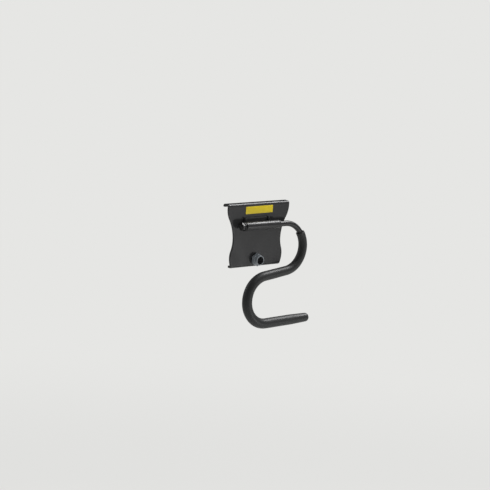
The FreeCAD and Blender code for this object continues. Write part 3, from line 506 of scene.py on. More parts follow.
def new_piece(name, points, faces, material, crease=35.0, lengthwise=None):
    """A mesh object in the frame's axes, smooth except where faces meet at more than crease.

    lengthwise gives, for each point, its distance along the hook and round it. It becomes a UV
    map, and where a face crosses the seam its smaller values are moved up by one turn.
    """
    mesh = bpy.data.meshes.new(name)
    mesh.from_pydata(points, [], faces)
    mesh.polygons.foreach_set("use_smooth", np.ones(len(faces), bool))
    mesh.set_sharp_from_angle(angle=math.radians(crease))
    mesh.materials.append(material)
    if lengthwise is not None:
        around = lengthwise[:, 1].max()
        corners = np.empty(len(mesh.loops), int)
        mesh.loops.foreach_get("vertex_index", corners)
        starts = np.empty(len(faces), int)
        mesh.polygons.foreach_get("loop_start", starts)
        lengths = np.diff(np.append(starts, len(corners)))
        owner = np.repeat(np.arange(len(faces)), lengths)
        values = lengthwise[corners]
        highest = np.full(len(faces), -np.inf)
        np.maximum.at(highest, owner, values[:, 1])
        step = np.maximum(highest[owner] - values[:, 1], 0)
        values[:, 1] += np.where(step > around / 2, around, 0)
        layer = mesh.uv_layers.new(name="along_the_hook")
        layer.data.foreach_set("uv", values.ravel())
    mesh.update()
    piece = bpy.data.objects.new(name, mesh)
    bpy.context.scene.collection.objects.link(piece)
    return piece


def add_piece(name, surface, material, body, slot, *nodes, **options):
    """A piece of a surface's points and faces. It rides on its body in place of its CAD nodes.
    The slot is not used."""
    piece = new_piece(name, *surface, material, **options)
    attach(piece, body)
    if nodes:
        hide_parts(*nodes)


def turned(along, centre, stations, angles, reach):
    """Rings round an axis, one for each distance along it.

    A point is centre + distance · axis + reach · (cos a · Z + sin a · axis × Z). The reach has
    one row for each distance and one column for each angle.
    """
    along = np.array(along)
    across = (np.cos(angles)[:, None] * (0, 0, 1)
              + np.sin(angles)[:, None] * np.cross(along, (0, 0, 1)))
    return (np.array(centre) + np.asarray(stations)[:, None, None] * along
            + reach[:, :, None] * across)


def quarter(centre, radius, start, steps=6):
    """Points of a quarter circle in a profile: centre + radius · (cos a, sin a), from an angle in
    degrees, turning clockwise."""
    angles = np.radians(start - np.linspace(0, 90, steps))
    return np.stack([centre[0] + radius * np.cos(angles),
                     centre[1] + radius * np.sin(angles)], axis=-1)


def walk(start, heading, runs):
    """A path in a plane through straight runs and bends, as a table of distance, two places and
    heading.

    Each run has a length and a turn. The heading grows evenly by the turn over the run, and the
    place is the start plus the integral of the heading's cosine and sine.
    """
    step = 0.05 * MM
    lengths, turns = np.array(runs).T
    knots = np.concatenate([[0], np.cumsum(lengths)])
    headings = heading + np.concatenate([[0], np.cumsum(turns)])
    distance = np.linspace(0, knots[-1], int(np.ceil(knots[-1] / step)) + 1)
    course = np.interp(distance, knots, headings)
    middle = (course[1:] + course[:-1]) / 2
    pieces = np.diff(distance)
    first = start[0] + np.concatenate([[0], np.cumsum(np.cos(middle) * pieces)])
    second = start[1] + np.concatenate([[0], np.cumsum(np.sin(middle) * pieces)])
    return np.stack([distance, first, second, course]), knots


def on_walk(table, distance):
    """The two places and the heading at distances along a walk."""
    return [np.interp(distance, table[0], row) for row in table[1:]]


def hexagon_radii(angles, flats, corner):
    """How far a hexagon with rounded corners reaches at each angle, with a corner at angle 0.

    Along a flat it is half the flats over the cosine of the angle from the flat's middle. In a
    corner it is c · cos p + sqrt(corner² − c² · sin² p), where p is the angle from the corner and
    c is how far the rounding's centre lies out.
    """
    half = flats / 2
    from_corner = (angles + np.pi / 6) % (np.pi / 3) - np.pi / 6
    from_flat = np.pi / 6 - np.abs(from_corner)
    centre = (half - corner) * 2 / np.sqrt(3)
    flat_end = np.arctan((half - corner) / np.sqrt(3) / half)
    rounded = centre * np.cos(from_corner) + bow(corner, centre * np.sin(from_corner))
    return np.where(from_flat <= flat_end, half / np.cos(from_flat), rounded)


def hexagon_angles(flats, corner, along=9, round_corner=7):
    """Angles round a hexagon, close together at its corners."""
    half = flats / 2
    gap = np.pi / 6 - np.arctan((half - corner) / np.sqrt(3) / half)
    side = np.linspace(gap, np.pi / 3 - gap, along)
    turn = np.linspace(-gap, gap, round_corner)[1:-1]
    sixth = np.concatenate([turn, side])
    return (np.arange(6)[:, None] * np.pi / 3 + sixth).ravel()


def outline_of_arcs(arcs, steps=9):
    """Points and outward directions of an outline made of arcs (x, z, radius, from, to), whose
    ends are joined by straight lines."""
    table = np.array(arcs, float)
    share = np.linspace(0, 1, steps)
    turn = np.radians(table[:, 3:4] + (table[:, 4:5] - table[:, 3:4]) * share)
    outward = np.stack([np.cos(turn), np.sin(turn)], axis=-1)
    points = table[:, None, 0:2] + table[:, None, 2:3] * outward
    return points.reshape(-1, 2), outward.reshape(-1, 2)


def slab(outline, outward, front, back, edge):
    """Rings of a flat piece from its front to its back, with rounded edges.

    The outline is drawn in by edge · (1 − sin a) while the ring moves back by edge · (1 − cos a),
    and the same in reverse at the back.
    """
    turn = right_angle(6)
    inset = edge * (1 - np.sin(turn))
    move = edge * (1 - np.cos(turn))
    insets = np.concatenate([inset, inset[::-1]])
    depths = np.concatenate([front + move, back - move[::-1]])
    flat = outline[None] - insets[:, None, None] * outward[None]
    level = np.broadcast_to(depths[:, None], flat.shape[:2])
    return np.stack([flat[..., 0], level, flat[..., 1]], axis=-1)


# The plate's own formulas

# Faces across the square window that becomes the lock's hole, and points on each rounded edge
WINDOW_FACES = 12
EDGE_POINTS = 5


def half_width(sizes, height):
    """Half the plate's width at each height.

    From the top down it is a straight edge, a convex shoulder arc, a concave arc to the waist, a
    concave arc from the waist, two convex arcs that meet at the bulge, and a rounded corner. Each
    arc's half width is its centre's plus or minus sqrt(radius² − rise²).
    """
    top = PLATE_HIGH.z
    outside = PLATE_HIGH.x
    waist = sizes.waist_width / 2
    bulge = waist + sizes.bulge_swell
    shoulder_z = top - sizes.shoulder_drop
    waist_z = top - sizes.waist_drop
    bulge_z = sizes.bulge_rise - top
    corner_z = sizes.foot_corner - top

    def swing(shift, rise):
        """The angle of two arcs that meet, and the sum of their radii."""
        turn = 2 * math.atan2(shift, rise)
        return turn, rise / math.sin(turn)

    upper_turn, upper_sum = swing(outside - waist, shoulder_z - waist_z)
    lower_turn, lower_sum = swing(bulge - waist, waist_z - bulge_z)
    shoulder = upper_sum * sizes.shoulder_share
    flank = upper_sum - shoulder
    hollow = lower_sum * sizes.hollow_share
    swell = lower_sum - hollow
    leg = sizes.leg_radius
    corner = sizes.foot_corner
    leg_turn = math.asin((bulge_z - corner_z) / (leg - corner))
    corner_x = bulge - leg + (leg - corner) * math.cos(leg_turn)

    return np.select(
        [
            height >= shoulder_z,
            height >= shoulder_z - shoulder * math.sin(upper_turn),
            height >= waist_z,
            height >= waist_z - hollow * math.sin(lower_turn),
            height >= bulge_z,
            height >= bulge_z - leg * math.sin(leg_turn),
        ],
        [
            np.full_like(height, outside),
            outside - shoulder + bow(shoulder, shoulder_z - height),
            waist + flank - bow(flank, height - waist_z),
            waist + hollow - bow(hollow, waist_z - height),
            bulge - swell + bow(swell, height - bulge_z),
            bulge - leg + bow(leg, bulge_z - height),
        ],
        corner_x + bow(corner, corner_z - height),
    )


def plate_section(sizes):
    """The middle line of the folded sheet, from the lip's free end to the foot's.

    It runs up the lip's end, forward along the lip, down the plate's face and back along the
    foot, with a quarter turn at each fold.
    """
    half = sizes.sheet / 2
    fold = sizes.fold - half
    lip_back = PLATE_HIGH.y - half
    quarter_turn = (fold * math.pi / 2, math.pi / 2)
    runs = [
        (sizes.lip_drop - sizes.fold, 0),
        quarter_turn,
        (lip_back + half - 2 * fold, 0),
        quarter_turn,
        (PLATE_HIGH.z - PLATE_LOW.z - 2 * sizes.fold, 0),
        quarter_turn,
        (sizes.foot_depth - sizes.fold + sizes.sheet, 0),
    ]
    start = (lip_back, PLATE_HIGH.z - sizes.lip_drop)
    return walk(start, math.pi / 2, runs)


def plate_rows(sizes, knots, window):
    """Distances along the section at which the plate has a row of points: close at its two ends,
    round the folds and beside the lock's hole. Two rows that all but meet are made one."""
    total = knots[-1]
    least_gap = 5e-6
    turn = right_angle(EDGE_POINTS)
    ends = sizes.edge * (1 - np.cos(turn))
    corners = np.linspace(sizes.edge, sizes.free_corner, 4)[1:]
    folds = [np.linspace(knots[i], knots[i + 1], 11) for i in (1, 3, 5)]
    lips = [np.linspace(knots[i], knots[i + 1], 5) for i in (2, 6)]
    lock_row = knots[4] + (PLATE_HIGH.z - sizes.fold - LOCK.z)
    beside = lock_row + np.linspace(-window, window, WINDOW_FACES + 1)
    face = np.linspace(knots[4], beside[0], 44)
    rows = np.concatenate([ends, corners, total - ends, total - corners, beside, face,
                           *folds, *lips])
    rows = np.unique(np.round(rows, 7))
    return rows[np.concatenate([[True], np.diff(rows) > least_gap])], beside


def plate_surface(sizes):
    """The folded sheet as one surface: its section's middle line carries a long thin loop.

    A point is middle + n · normal + x · X, where (n, x) runs round a rectangle with rounded
    corners, as wide as the plate is at that height and as deep as the sheet. The loop thins and
    narrows over the sheet's last stretch. A square window of faces on both sides becomes the
    lock's round hole.
    """
    half = sizes.sheet / 2
    edge = sizes.edge
    table, knots = plate_section(sizes)
    # The window ends just above the foot's fold, and is never as small as the hole.
    above_fold, round_hole = 0.05 * MM, 0.15 * MM
    window = max(-PLATE_LOW.z - sizes.fold + LOCK.z - above_fold, sizes.hole + round_hole)
    rows, beside = plate_rows(sizes, knots, window)
    mid_y, mid_z, course = on_walk(table, rows)
    to_end = np.maximum(np.minimum(rows, knots[-1] - rows), 0)
    corner_gap = np.maximum(sizes.free_corner - to_end, 0)
    narrowing = sizes.free_corner - bow(sizes.free_corner, corner_gap)
    edge_gap = np.maximum(edge - to_end, 0)
    thinning = edge - bow(edge, edge_gap)
    width = half_width(sizes, mid_z) - narrowing - edge
    # The loop's template: x = fixed + scaled · width, and n before the ends thin it.
    turn = right_angle(EDGE_POINTS)
    inner = np.linspace(-window, window, WINDOW_FACES + 1)
    share = np.linspace(0, 1, 23)[1:-1]
    arc_n, arc_x = edge * np.cos(turn), edge * np.sin(turn)
    deep = half - edge
    face_fixed = np.concatenate([-window * (1 - share[::-1]), inner, window * (1 - share)])
    face_scaled = np.concatenate([-share[::-1], np.zeros(len(inner)), share])
    ones = np.ones(EDGE_POINTS)
    fixed = np.concatenate([arc_x, arc_x[::-1], face_fixed[::-1], -arc_x, -arc_x[::-1],
                            face_fixed])
    scaled = np.concatenate([ones, ones, face_scaled[::-1], -ones, -ones, face_scaled])
    level = np.full(len(face_fixed), half)
    depth = np.concatenate([deep + arc_n, -deep - arc_n[::-1], -level, -deep - arc_n,
                            deep + arc_n[::-1], level])
    across = fixed + scaled * width[:, None]
    outward = np.sign(depth) * (np.abs(depth) - thinning[:, None])
    normal_y, normal_z = -np.sin(course), np.cos(course)
    rings = np.stack([
        across,
        mid_y[:, None] + outward * normal_y[:, None],
        mid_z[:, None] + outward * normal_z[:, None],
    ], axis=-1)
    points, faces = closed_chain(rings)
    first_row, last_row = (int(np.argmin(np.abs(rows - edge_row))) for edge_row in beside[[0, -1]])
    return with_hole(sizes.hole, points, faces, rings.shape[1], first_row, last_row)


def with_hole(hole, points, faces, sides, first_row, last_row):
    """Open the square window to a round hole: each point on the window's rim is joined to the
    point of the circle in the same direction, and the two circles to each other."""
    arc_points = 2 * EDGE_POINTS
    face_points = (sides - 2 * arc_points) // 2
    middle = (face_points - WINDOW_FACES - 1) // 2
    down = np.arange(first_row, last_row)
    across = np.arange(WINDOW_FACES)
    doomed = set()
    rims = []
    for start in (arc_points + middle, 2 * arc_points + face_points + middle):
        doomed.update((down[:, None] * sides + start + across).ravel().tolist())
        # The rim's points are in such an order that the removed faces were on its left.
        rims.append(np.concatenate([
            first_row * sides + start + across,
            down * sides + start + WINDOW_FACES,
            last_row * sides + start + WINDOW_FACES - across,
            down[::-1] * sides + sides + start,
        ]))
    kept = [face for index, face in enumerate(faces) if index not in doomed]
    loops = []
    for rim in rims:
        place = points[rim]
        angle_round = np.arctan2(place[:, 2] - LOCK.z, place[:, 0])
        circle = np.stack([
            hole * np.cos(angle_round), place[:, 1], LOCK.z + hole * np.sin(angle_round)
        ], axis=-1)
        ids = len(points) + np.arange(len(rim))
        points = np.concatenate([points, circle])
        following = np.roll(np.arange(len(rim)), -1)
        kept += np.stack([rim, rim[following], ids[following], ids], axis=-1).tolist()
        loops.append(ids)
    front_ids, back_ids = loops
    # Both loops run the same way on the sheet's two sides, so they pass a place in reverse.
    place = points[front_ids][:, None] - points[back_ids][None]
    partners = back_ids[np.argmin(place[..., 0] ** 2 + place[..., 2] ** 2, axis=1)]
    wall = np.stack([front_ids, front_ids[following], partners[following], partners], axis=-1)
    kept += wall.tolist()
    return points, kept


# Operators

def coat_of(context):
    """The powder coat, made on first use."""
    return (bpy.data.materials.get("powder_coated_steel")
            or powder_coated_steel("powder_coated_steel", context.scene.hook_plate.coat))


def dress_node(name, material):
    """Give a CAD node that stays a finished material."""
    node = frame["nodes"][name]
    node.data.materials.clear()
    node.data.materials.append(material)


class UTILITYHOOK_OT_plate(bpy.types.Operator):
    """Build the folded plate with its lip, foot and curved sides"""

    bl_idname = "utility_hook.plate"
    bl_label = "Plate"

    def execute(self, context):
        add_piece("plate_shell", plate_surface(context.scene.hook_plate), coat_of(context),
                  "bracket", "powder_coat", "back_plate")
        return {"FINISHED"}


class UTILITYHOOK_OT_label(bpy.types.Operator):
    """Build the bare label on the plate's front"""

    bl_idname = "utility_hook.label"
    bl_label = "Label"

    def execute(self, context):
        sizes = context.scene.hook_plate
        half_x, half_z = sizes.label_width / 2, sizes.label_height / 2
        corner, edge = 0.8 * MM, 0.12 * MM
        x, z = half_x - corner, half_z - corner
        outline, outward = outline_of_arcs([
            (x, z, corner, 0, 90), (-x, z, corner, 90, 180),
            (-x, -z, corner, 180, 270), (x, -z, corner, 270, 360),
        ])
        rings = slab(outline, outward, 0.0, LABEL_HIGH.y - LABEL_LOW.y, edge)
        turn = Matrix.Rotation(-sizes.label_tilt, 3, "Y")
        middle = (LABEL_LOW + LABEL_HIGH) / 2
        place = Vector((middle.x, LABEL_LOW.y, middle.z))
        points, faces = closed_chain(rings)
        points = points @ np.array(turn).T + np.array(place)
        film = printed_film("printed_film", sizes.label)
        add_piece("label_film", (points, faces), film, "bracket", "label", "label_plate")
        return {"FINISHED"}


def add_tube(sizes, coat):
    """The wall's profile, turned round the pivot: its outside, a rounded end, the bore and the
    other rounded end."""
    half = (TUBE_HIGH.x - TUBE_LOW.x) / 2
    outer = (TUBE_HIGH.z - TUBE_LOW.z) / 2
    bore, edge = sizes.tube_bore, 0.45 * MM
    profile = np.concatenate([
        quarter((half - edge, outer - edge), edge, 90),
        quarter((half - edge, bore + edge), edge, 0),
        quarter((-half + edge, bore + edge), edge, 270),
        quarter((-half + edge, outer - edge), edge, 180),
    ])[::-1]
    angles = full_turn(72)
    reach = np.repeat(profile[:, 1:2], len(angles), axis=1)
    rings = turned(TO_RIGHT, PIVOT, profile[:, 0], angles, reach)
    add_piece("tube_wall", ring_loop(rings), coat, "bracket", "powder_coat", "pivot_tube")


def add_welds(coat):
    """A bead down each outer side of the bracket: circles along an upright line that sways a
    little. Their radius is bead · sqrt(1 − |s|⁹) · (1 + 0.1 · sin(2π · distance / ripple)), where
    s runs from −1 to 1 down the bead, so it swells and shrinks, and closes at both ends."""
    margin, bead, ripple = 0.6 * MM, 1.15 * MM, 1.3 * MM
    beside, ahead, sway, sway_wave = 0.25 * MM, 0.2 * MM, 0.12 * MM, 3.7 * MM
    blunt, least, swell = 9, 0.0004, 0.1
    low, high = CRADLE_LOW.z + margin, CRADLE_HIGH.z - margin
    distance = np.linspace(0, high - low, 90)
    share = distance / distance[-1] * 2 - 1
    closing = np.sqrt(np.maximum(1 - np.abs(share) ** blunt, least))
    swelling = 1 + swell * np.sin(distance / ripple * 2 * np.pi)
    radius = bead * closing * swelling
    angles = full_turn(20)
    for side, name in ((-1, "weld_left"), (1, "weld_right")):
        x = side * (CRADLE_HIGH.x + beside) + sway * np.sin(distance / sway_wave + side)
        rings = np.stack([
            x[:, None] + radius[:, None] * np.cos(angles),
            PLATE_LOW.y - ahead + radius[:, None] * np.sin(angles),
            np.repeat((low + distance)[:, None], len(angles), axis=1),
        ], axis=-1)
        add_piece(name, closed_chain(rings), coat, "bracket", "powder_coat", crease=60.0)


class UTILITYHOOK_OT_tube(bpy.types.Operator):
    """Build the pivot tube and the weld beads that hold its bracket"""

    bl_idname = "utility_hook.tube"
    bl_label = "Tube and welds"

    def execute(self, context):
        coat = coat_of(context)
        add_tube(context.scene.hook_plate, coat)
        add_welds(coat)
        dress_node("tube_cradle", coat)
        return {"FINISHED"}


def hook_walk(sizes):
    """The hook's centre line from the rod's shoulder to the sleeve's tip, in X and Z."""
    start_x = TUBE_LOW.x - sizes.end_play
    runs = [
        (TUBE_HIGH.x + sizes.lead - start_x, 0),
        (sizes.bend * sizes.upper_turn, -sizes.upper_turn),
        (sizes.middle, 0),
        (sizes.bend * sizes.lower_turn, sizes.lower_turn),
        (sizes.arm, 0),
    ]
    return walk((start_x, PIVOT.z), 0.0, runs)


def rings_on_hook(table, distance, radii, angles):
    """Rings round the hook's line: centre + r · (cos a · normal + sin a · −Y), where the normal
    lies in the hook's plane. The distance is one for each ring, or one for each of its points.
    Before the line's start the rings keep its first direction. All of it is turned about the
    tube's axis by the rest angle q: y' = y cos q + z sin q, z' = z cos q − y sin q."""
    distance = np.broadcast_to(distance.reshape(len(distance), -1), radii.shape)
    x, z, course = on_walk(table, distance)
    x = x + np.minimum(distance, 0)
    outward = radii * np.cos(angles)
    y = -radii * np.sin(angles)
    z = z + outward * np.cos(course) - PIVOT.z
    turn = bpy.context.scene.hook_rod.rest
    return np.stack([
        x - outward * np.sin(course),
        PIVOT.y + y * math.cos(turn) + z * math.sin(turn),
        PIVOT.z + z * math.cos(turn) - y * math.sin(turn),
    ], axis=-1)


def lengthwise_of(distance, sides, radius):
    """Distance along and round the hook for each ring's points and the two poles."""
    around = np.arange(sides) * 2 * np.pi * radius / sides
    along, round_it = np.meshgrid(distance, around, indexing="ij")
    grid = np.stack([along.ravel(), round_it.ravel()], axis=-1)
    poles = np.array([[distance[0], 0], [distance[-1], 0]])
    return np.concatenate([grid, poles])


def thread(sizes, angles):
    """Distances and radii of the threaded end, from its tip to the shoulder.

    The radius is the stud's less a groove whose depth is 0 at the crest and greatest half a pitch
    further on. The crest advances by one pitch a turn. Towards the tip the radius is held under a
    45-degree bevel, and at the shoulder the groove runs out.
    """
    depth = 0.55 * sizes.pitch
    gap, fading, bevelled = 0.02 * MM, 1.2 * MM, 0.7 * MM
    distance = np.linspace(-sizes.stud_length, -gap, 90)
    phase = distance[:, None] / sizes.pitch - angles[None, :] / (2 * np.pi)
    groove = 1 - np.abs(2 * (phase % 1) - 1)
    run_out = np.clip(-distance / fading, 0, 1)[:, None]
    radius = sizes.stud - depth * groove * run_out
    bevel = sizes.stud - bevelled + (distance + sizes.stud_length)[:, None]
    return distance, np.minimum(radius, bevel)


class UTILITYHOOK_OT_rod(bpy.types.Operator):
    """Build the bent rod with its threaded end"""

    bl_idname = "utility_hook.rod"
    bl_label = "Rod"

    def execute(self, context):
        sizes = context.scene.hook_rod
        table, knots = hook_walk(sizes)
        sides = 48
        angles = full_turn(sides)
        stud, radii = thread(sizes, angles)
        chamfer, spacing = 0.4 * MM, 1.4 * MM
        end = knots[-1] - sizes.cover
        body = np.concatenate([
            [0.0, chamfer, knots[1]],
            np.arange(knots[1], end - chamfer, spacing)[1:],
            [end - chamfer, end],
        ])
        body_radius = np.full(len(body), sizes.rod)
        body_radius[[0, -1]] = sizes.rod - chamfer
        distance = np.concatenate([stud, body])
        reach = np.concatenate([radii, np.repeat(body_radius[:, None], sides, axis=1)])
        surface = closed_chain(rings_on_hook(table, distance, reach, angles))
        rod = coated_rod("coated_rod", sizes.rod_colour)
        add_piece("rod_bar", surface, rod, "hook", "black_steel", "hook_rod",
                  lengthwise=lengthwise_of(distance, sides, sizes.rod))
        return {"FINISHED"}


def sleeve_profile(sizes, knots):
    """Distances along the hook and radii of one closed skin.

    It starts at the bore's closed end, comes back along the bore to the mouth, goes round the
    mouth's rounded rim, and follows the outside to the tip. The outside widens from the mouth as
    a quarter of a sine wave, narrows towards the tip as a quarter of a cosine wave, and ends in a
    rounding.
    """
    mouth = knots[1] + sizes.bend * sizes.mouth
    end = knots[-1]
    rim, past_rod, bore_spacing, spacing = 0.9 * MM, 0.2 * MM, 2.0 * MM, 1.2 * MM
    bore = np.arange(end - sizes.cover + past_rod, mouth + rim, -bore_spacing)
    turn = right_angle(7)
    inner_rim = (mouth + rim * (1 - np.sin(turn)), sizes.bore + rim * (1 - np.cos(turn)))
    outer_rim = (mouth + rim * (1 - np.cos(turn)), sizes.neck - rim + rim * np.sin(turn))
    outside = np.arange(mouth + rim, end - sizes.tip_round, spacing)[1:]
    part = np.clip((outside - (end - sizes.taper)) / sizes.taper, 0, 1)
    widened = np.clip((outside - mouth) / sizes.swollen, 0, 1)
    drop = ((sizes.sleeve - sizes.tip) * (1 - np.cos(part * np.pi / 2))
            + (sizes.sleeve - sizes.neck) * (1 - np.sin(widened * np.pi / 2)))
    last = sizes.sleeve - drop[-1]
    finish = right_angle(12)
    tip_along = end - sizes.tip_round * (1 - np.sin(finish))
    tip_radius = last - sizes.tip_round * (1 - np.cos(finish))
    distance = np.concatenate([bore, inner_rim[0], outer_rim[0], outside, tip_along])
    radius = np.concatenate([np.full(len(bore), sizes.bore), inner_rim[1], outer_rim[1],
                             sizes.sleeve - drop, tip_radius])
    return distance, radius


class UTILITYHOOK_OT_sleeve(bpy.types.Operator):
    """Build the soft sleeve with its open mouth and rounded tip"""

    bl_idname = "utility_hook.sleeve"
    bl_label = "Sleeve"

    def execute(self, context):
        sizes = context.scene.hook_rod
        table, knots = hook_walk(sizes)
        distance, radius = sleeve_profile(sizes, knots)
        sides = 64
        angles = full_turn(sides)
        # The soft wall is uneven by a few hundredths of a millimetre, but not inside the bore.
        height, wave, in_bore = 0.035 * MM, 5.3 * MM, 0.5 * MM
        ripple = height * np.sin(distance[:, None] / wave + 2 * np.sin(angles))
        outside = (radius > sizes.bore + in_bore)[:, None]
        reach = radius[:, None] + ripple * outside
        # The cut end leans: its outer side lies further along the hook than its inner side.
        mouth, leaning = knots[1] + sizes.bend * sizes.mouth, 9 * MM
        fade = np.clip(1 - (distance - mouth) / leaning, 0, 1)
        slanted = distance[:, None] + sizes.slant * fade[:, None] * np.cos(angles)
        surface = closed_chain(rings_on_hook(table, slanted, reach, angles))
        vinyl = dipped_vinyl("dipped_vinyl", sizes.sleeve_colour)
        add_piece("sleeve_skin", surface, vinyl, "hook", "sleeve", "grip_sleeve",
                  lengthwise=lengthwise_of(distance, sides, sizes.sleeve))
        return {"FINISHED"}


def nut_surface(flats, height, bore, turn):
    """A hexagon under two cones: at each ring the reach is the smaller of the hexagon's and the
    cone's, which is a share of the flats at the nut's face and grows with the depth below it."""
    corner, chamfer = 0.25 * MM, 0.45 * MM
    at_face, slope, deepest = 0.475, 1.7, 0.8
    angles = hexagon_angles(flats, corner)
    hexagon = hexagon_radii(angles, flats, corner)
    bevel = np.linspace(0, deepest, 7) * MM
    cone = flats * at_face + slope * bevel
    outer = np.minimum(hexagon[None], cone[:, None])
    inner = np.full((1, len(angles)), bore)
    mouth = inner + chamfer
    reach = np.concatenate([mouth, outer, outer[::-1], mouth, inner, inner])
    along = np.concatenate([[0], bevel, height - bevel[::-1],
                            [height, height - chamfer, chamfer]])
    centre = (NUT_LOW.x, PIVOT.y, PIVOT.z)
    return ring_loop(turned(TO_RIGHT, centre, along, angles + turn, reach))


class UTILITYHOOK_OT_nut(bpy.types.Operator):
    """Build the retaining nut, and finish the washers and the rear screw"""

    bl_idname = "utility_hook.nut"
    bl_label = "Nut and washers"

    def execute(self, context):
        sizes = context.scene.hook_rod
        zinc = zinc_plated_steel("zinc_plated_steel", sizes.zinc)
        dark = blackened_steel("blackened_steel", sizes.rod_colour)
        flats = NUT_HIGH.z - NUT_LOW.z
        height = NUT_HIGH.x - NUT_LOW.x
        bore = sizes.stud + 0.05 * MM
        add_piece("nut_body", nut_surface(flats, height, bore, sizes.nut_turn), dark,
                  "hook", "black_steel", "retaining_nut", crease=30.0)
        dress_node("retaining_washer", dark)
        for name in ("lock_washer", "lock_screw"):
            dress_node(name, zinc)
        return {"FINISHED"}


def knob_profile(sizes):
    """Distances in front of the knob's back, how hexagonal each ring is, and its reach.

    The skin starts behind the plate, comes forward along the shaft, spreads to the hexagon's
    back, goes over its side and front to the collar, and turns in at the collar's rim to the
    bottom of the recess.
    """
    edge, rim, foot = 0.6 * MM, 0.9 * MM, 0.5 * MM
    bevel, eased, draft = 0.3 * MM, 0.2 * MM, 0.15 * MM
    back = LOCK.y - KNOB_HIGH.y
    front = LOCK.y - KNOB_LOW.y
    half = sizes.flats / 2
    root = sizes.collar + foot
    turn = right_angle(6)
    dip, rise = 1 - np.cos(turn), np.sin(turn)
    low = front - sizes.recess_depth
    inner = rim * 0.55
    # The recess's last rings: how far each stands above the floor and in from the wall
    above_floor = np.array([0.6, 0.15, 0]) * MM
    from_wall = np.array([0.1, 0.3, 0.8]) * MM
    parts = [
        # The shaft and the knob's back
        (np.array([back, back + bevel, 0.0]), 0,
         np.array([sizes.shaft - bevel, sizes.shaft, sizes.shaft])),
        # The hexagon's side, with both edges rounded
        (eased * dip, 1, half - eased * (1 - rise)),
        (sizes.hexagon - edge * (1 - rise), 1, half - edge * dip),
        # The fillet at the collar's root, and the collar with a little draft
        (sizes.hexagon + foot * dip, 0, root - foot * rise),
        (front - rim * (1 - rise), 0, sizes.collar - draft - rim * dip),
        # The recess
        (front - inner * dip, 0, sizes.recess + inner * (1 - rise)),
        (low + above_floor, 0, sizes.recess - from_wall),
    ]
    stations = np.concatenate([part[0] for part in parts])
    hexagonal = np.concatenate([np.full(len(part[0]), float(part[1])) for part in parts])
    reach = np.concatenate([part[2] for part in parts])
    return stations, hexagonal, reach


class UTILITYHOOK_OT_knob(bpy.types.Operator):
    """Build the lock's moulded knob"""

    bl_idname = "utility_hook.knob"
    bl_label = "Lock knob"

    def execute(self, context):
        sizes = context.scene.hook_lock
        angles = hexagon_angles(sizes.flats, sizes.corner)
        stations, hexagonal, reach = knob_profile(sizes)
        unit = hexagon_radii(angles, sizes.flats, sizes.corner) / (sizes.flats / 2)
        shape = 1 + hexagonal[:, None] * (unit[None] - 1)
        rings = turned(TO_FRONT, LOCK, stations, angles, reach[:, None] * shape)
        # The blind hole in the knob's front is painted dark as shade, out to just past its wall.
        nylon = moulded_nylon("moulded_nylon_grey", sizes.knob, 0.38,
                              painted_shade_radius=sizes.recess + 0.1 * MM)
        add_piece("knob_moulding", closed_chain(rings), nylon, "lock", "nylon", "lock_knob",
                  crease=32.0)
        return {"FINISHED"}


class UTILITYHOOK_OT_tongue(bpy.types.Operator):
    """Build the lock's tongue behind the plate"""

    bl_idname = "utility_hook.tongue"
    bl_label = "Lock tongue"

    def execute(self, context):
        sizes = context.scene.hook_lock
        half = (TONGUE_HIGH.x - TONGUE_LOW.x) / 2
        corner, edge = sizes.tongue_corner, 0.6 * MM
        x, z = half - corner, TONGUE_HIGH.z - LOCK.z - corner
        outline, outward = outline_of_arcs([
            (x, z, corner, 0, 90), (-x, z, corner, 90, 180), (0, 0, half, 180, 360),
        ], steps=17)
        rings = slab(outline, outward, TONGUE_LOW.y, TONGUE_HIGH.y, edge)
        rings = rings + np.array([0, 0, LOCK.z])
        nylon = moulded_nylon("moulded_nylon_black", sizes.tongue, 0.5)
        add_piece("tongue_moulding", closed_chain(rings), nylon,
                  "lock", "nylon_black", "lock_tongue")
        return {"FINISHED"}


def add_floor(sizes):
    """A flat square at one height, as a grid of 2 by 2 points."""
    level = CAD_BOX[0][2] - sizes.floor_gap
    reach = 12.0
    x, y = np.meshgrid([-reach, reach], [-reach, reach])
    points = np.stack([x.ravel(), y.ravel(), np.full(4, level)], axis=-1)
    board = painted_board("painted_board", sizes.floor)
    new_piece("floor", points, [(0, 1, 3, 2)], board)


def add_world(scene):
    """Even soft light all round, and a pale background where the camera or clear rays see it.
    A gloss mirrors a darker room."""
    world = bpy.data.worlds.new("soft_world")
    world.use_nodes = True
    tree = world.node_tree
    tree.nodes.clear()
    ray = add_node(tree, "LightPath")
    seen = add_node(tree, "Math", {
        0: ray.outputs["Is Camera Ray"], 1: ray.outputs["Is Transmission Ray"],
    }, operation="MAXIMUM")
    white = (1, 1, 1, 1)
    soft, room, pale = (
        add_node(tree, "Background", {"Color": tone, "Strength": strength})
        for tone, strength in ((white, 0.55), (white, 0.08), (linear(PALE), 1.0))
    )
    mirrored = add_node(tree, "MixShader", {
        0: ray.outputs["Is Glossy Ray"], 1: soft.outputs[0], 2: room.outputs[0],
    })
    mixed = add_node(tree, "MixShader", {
        0: seen.outputs[0], 1: mirrored.outputs[0], 2: pale.outputs[0],
    })
    add_node(tree, "OutputWorld", {"Surface": mixed.outputs[0]})
    scene.world = world


def add_light(name, place, size, watts):
    """A square soft light that faces the hook."""
    lamp = bpy.data.lights.new(name, "AREA")
    lamp.shape = "SQUARE"
    lamp.size = size
    lamp.energy = watts
    light = bpy.data.objects.new(name, lamp)
    light.location = place
    light.rotation_euler = Vector(place).to_track_quat("Z", "Y").to_euler()
    bpy.context.scene.collection.objects.link(light)


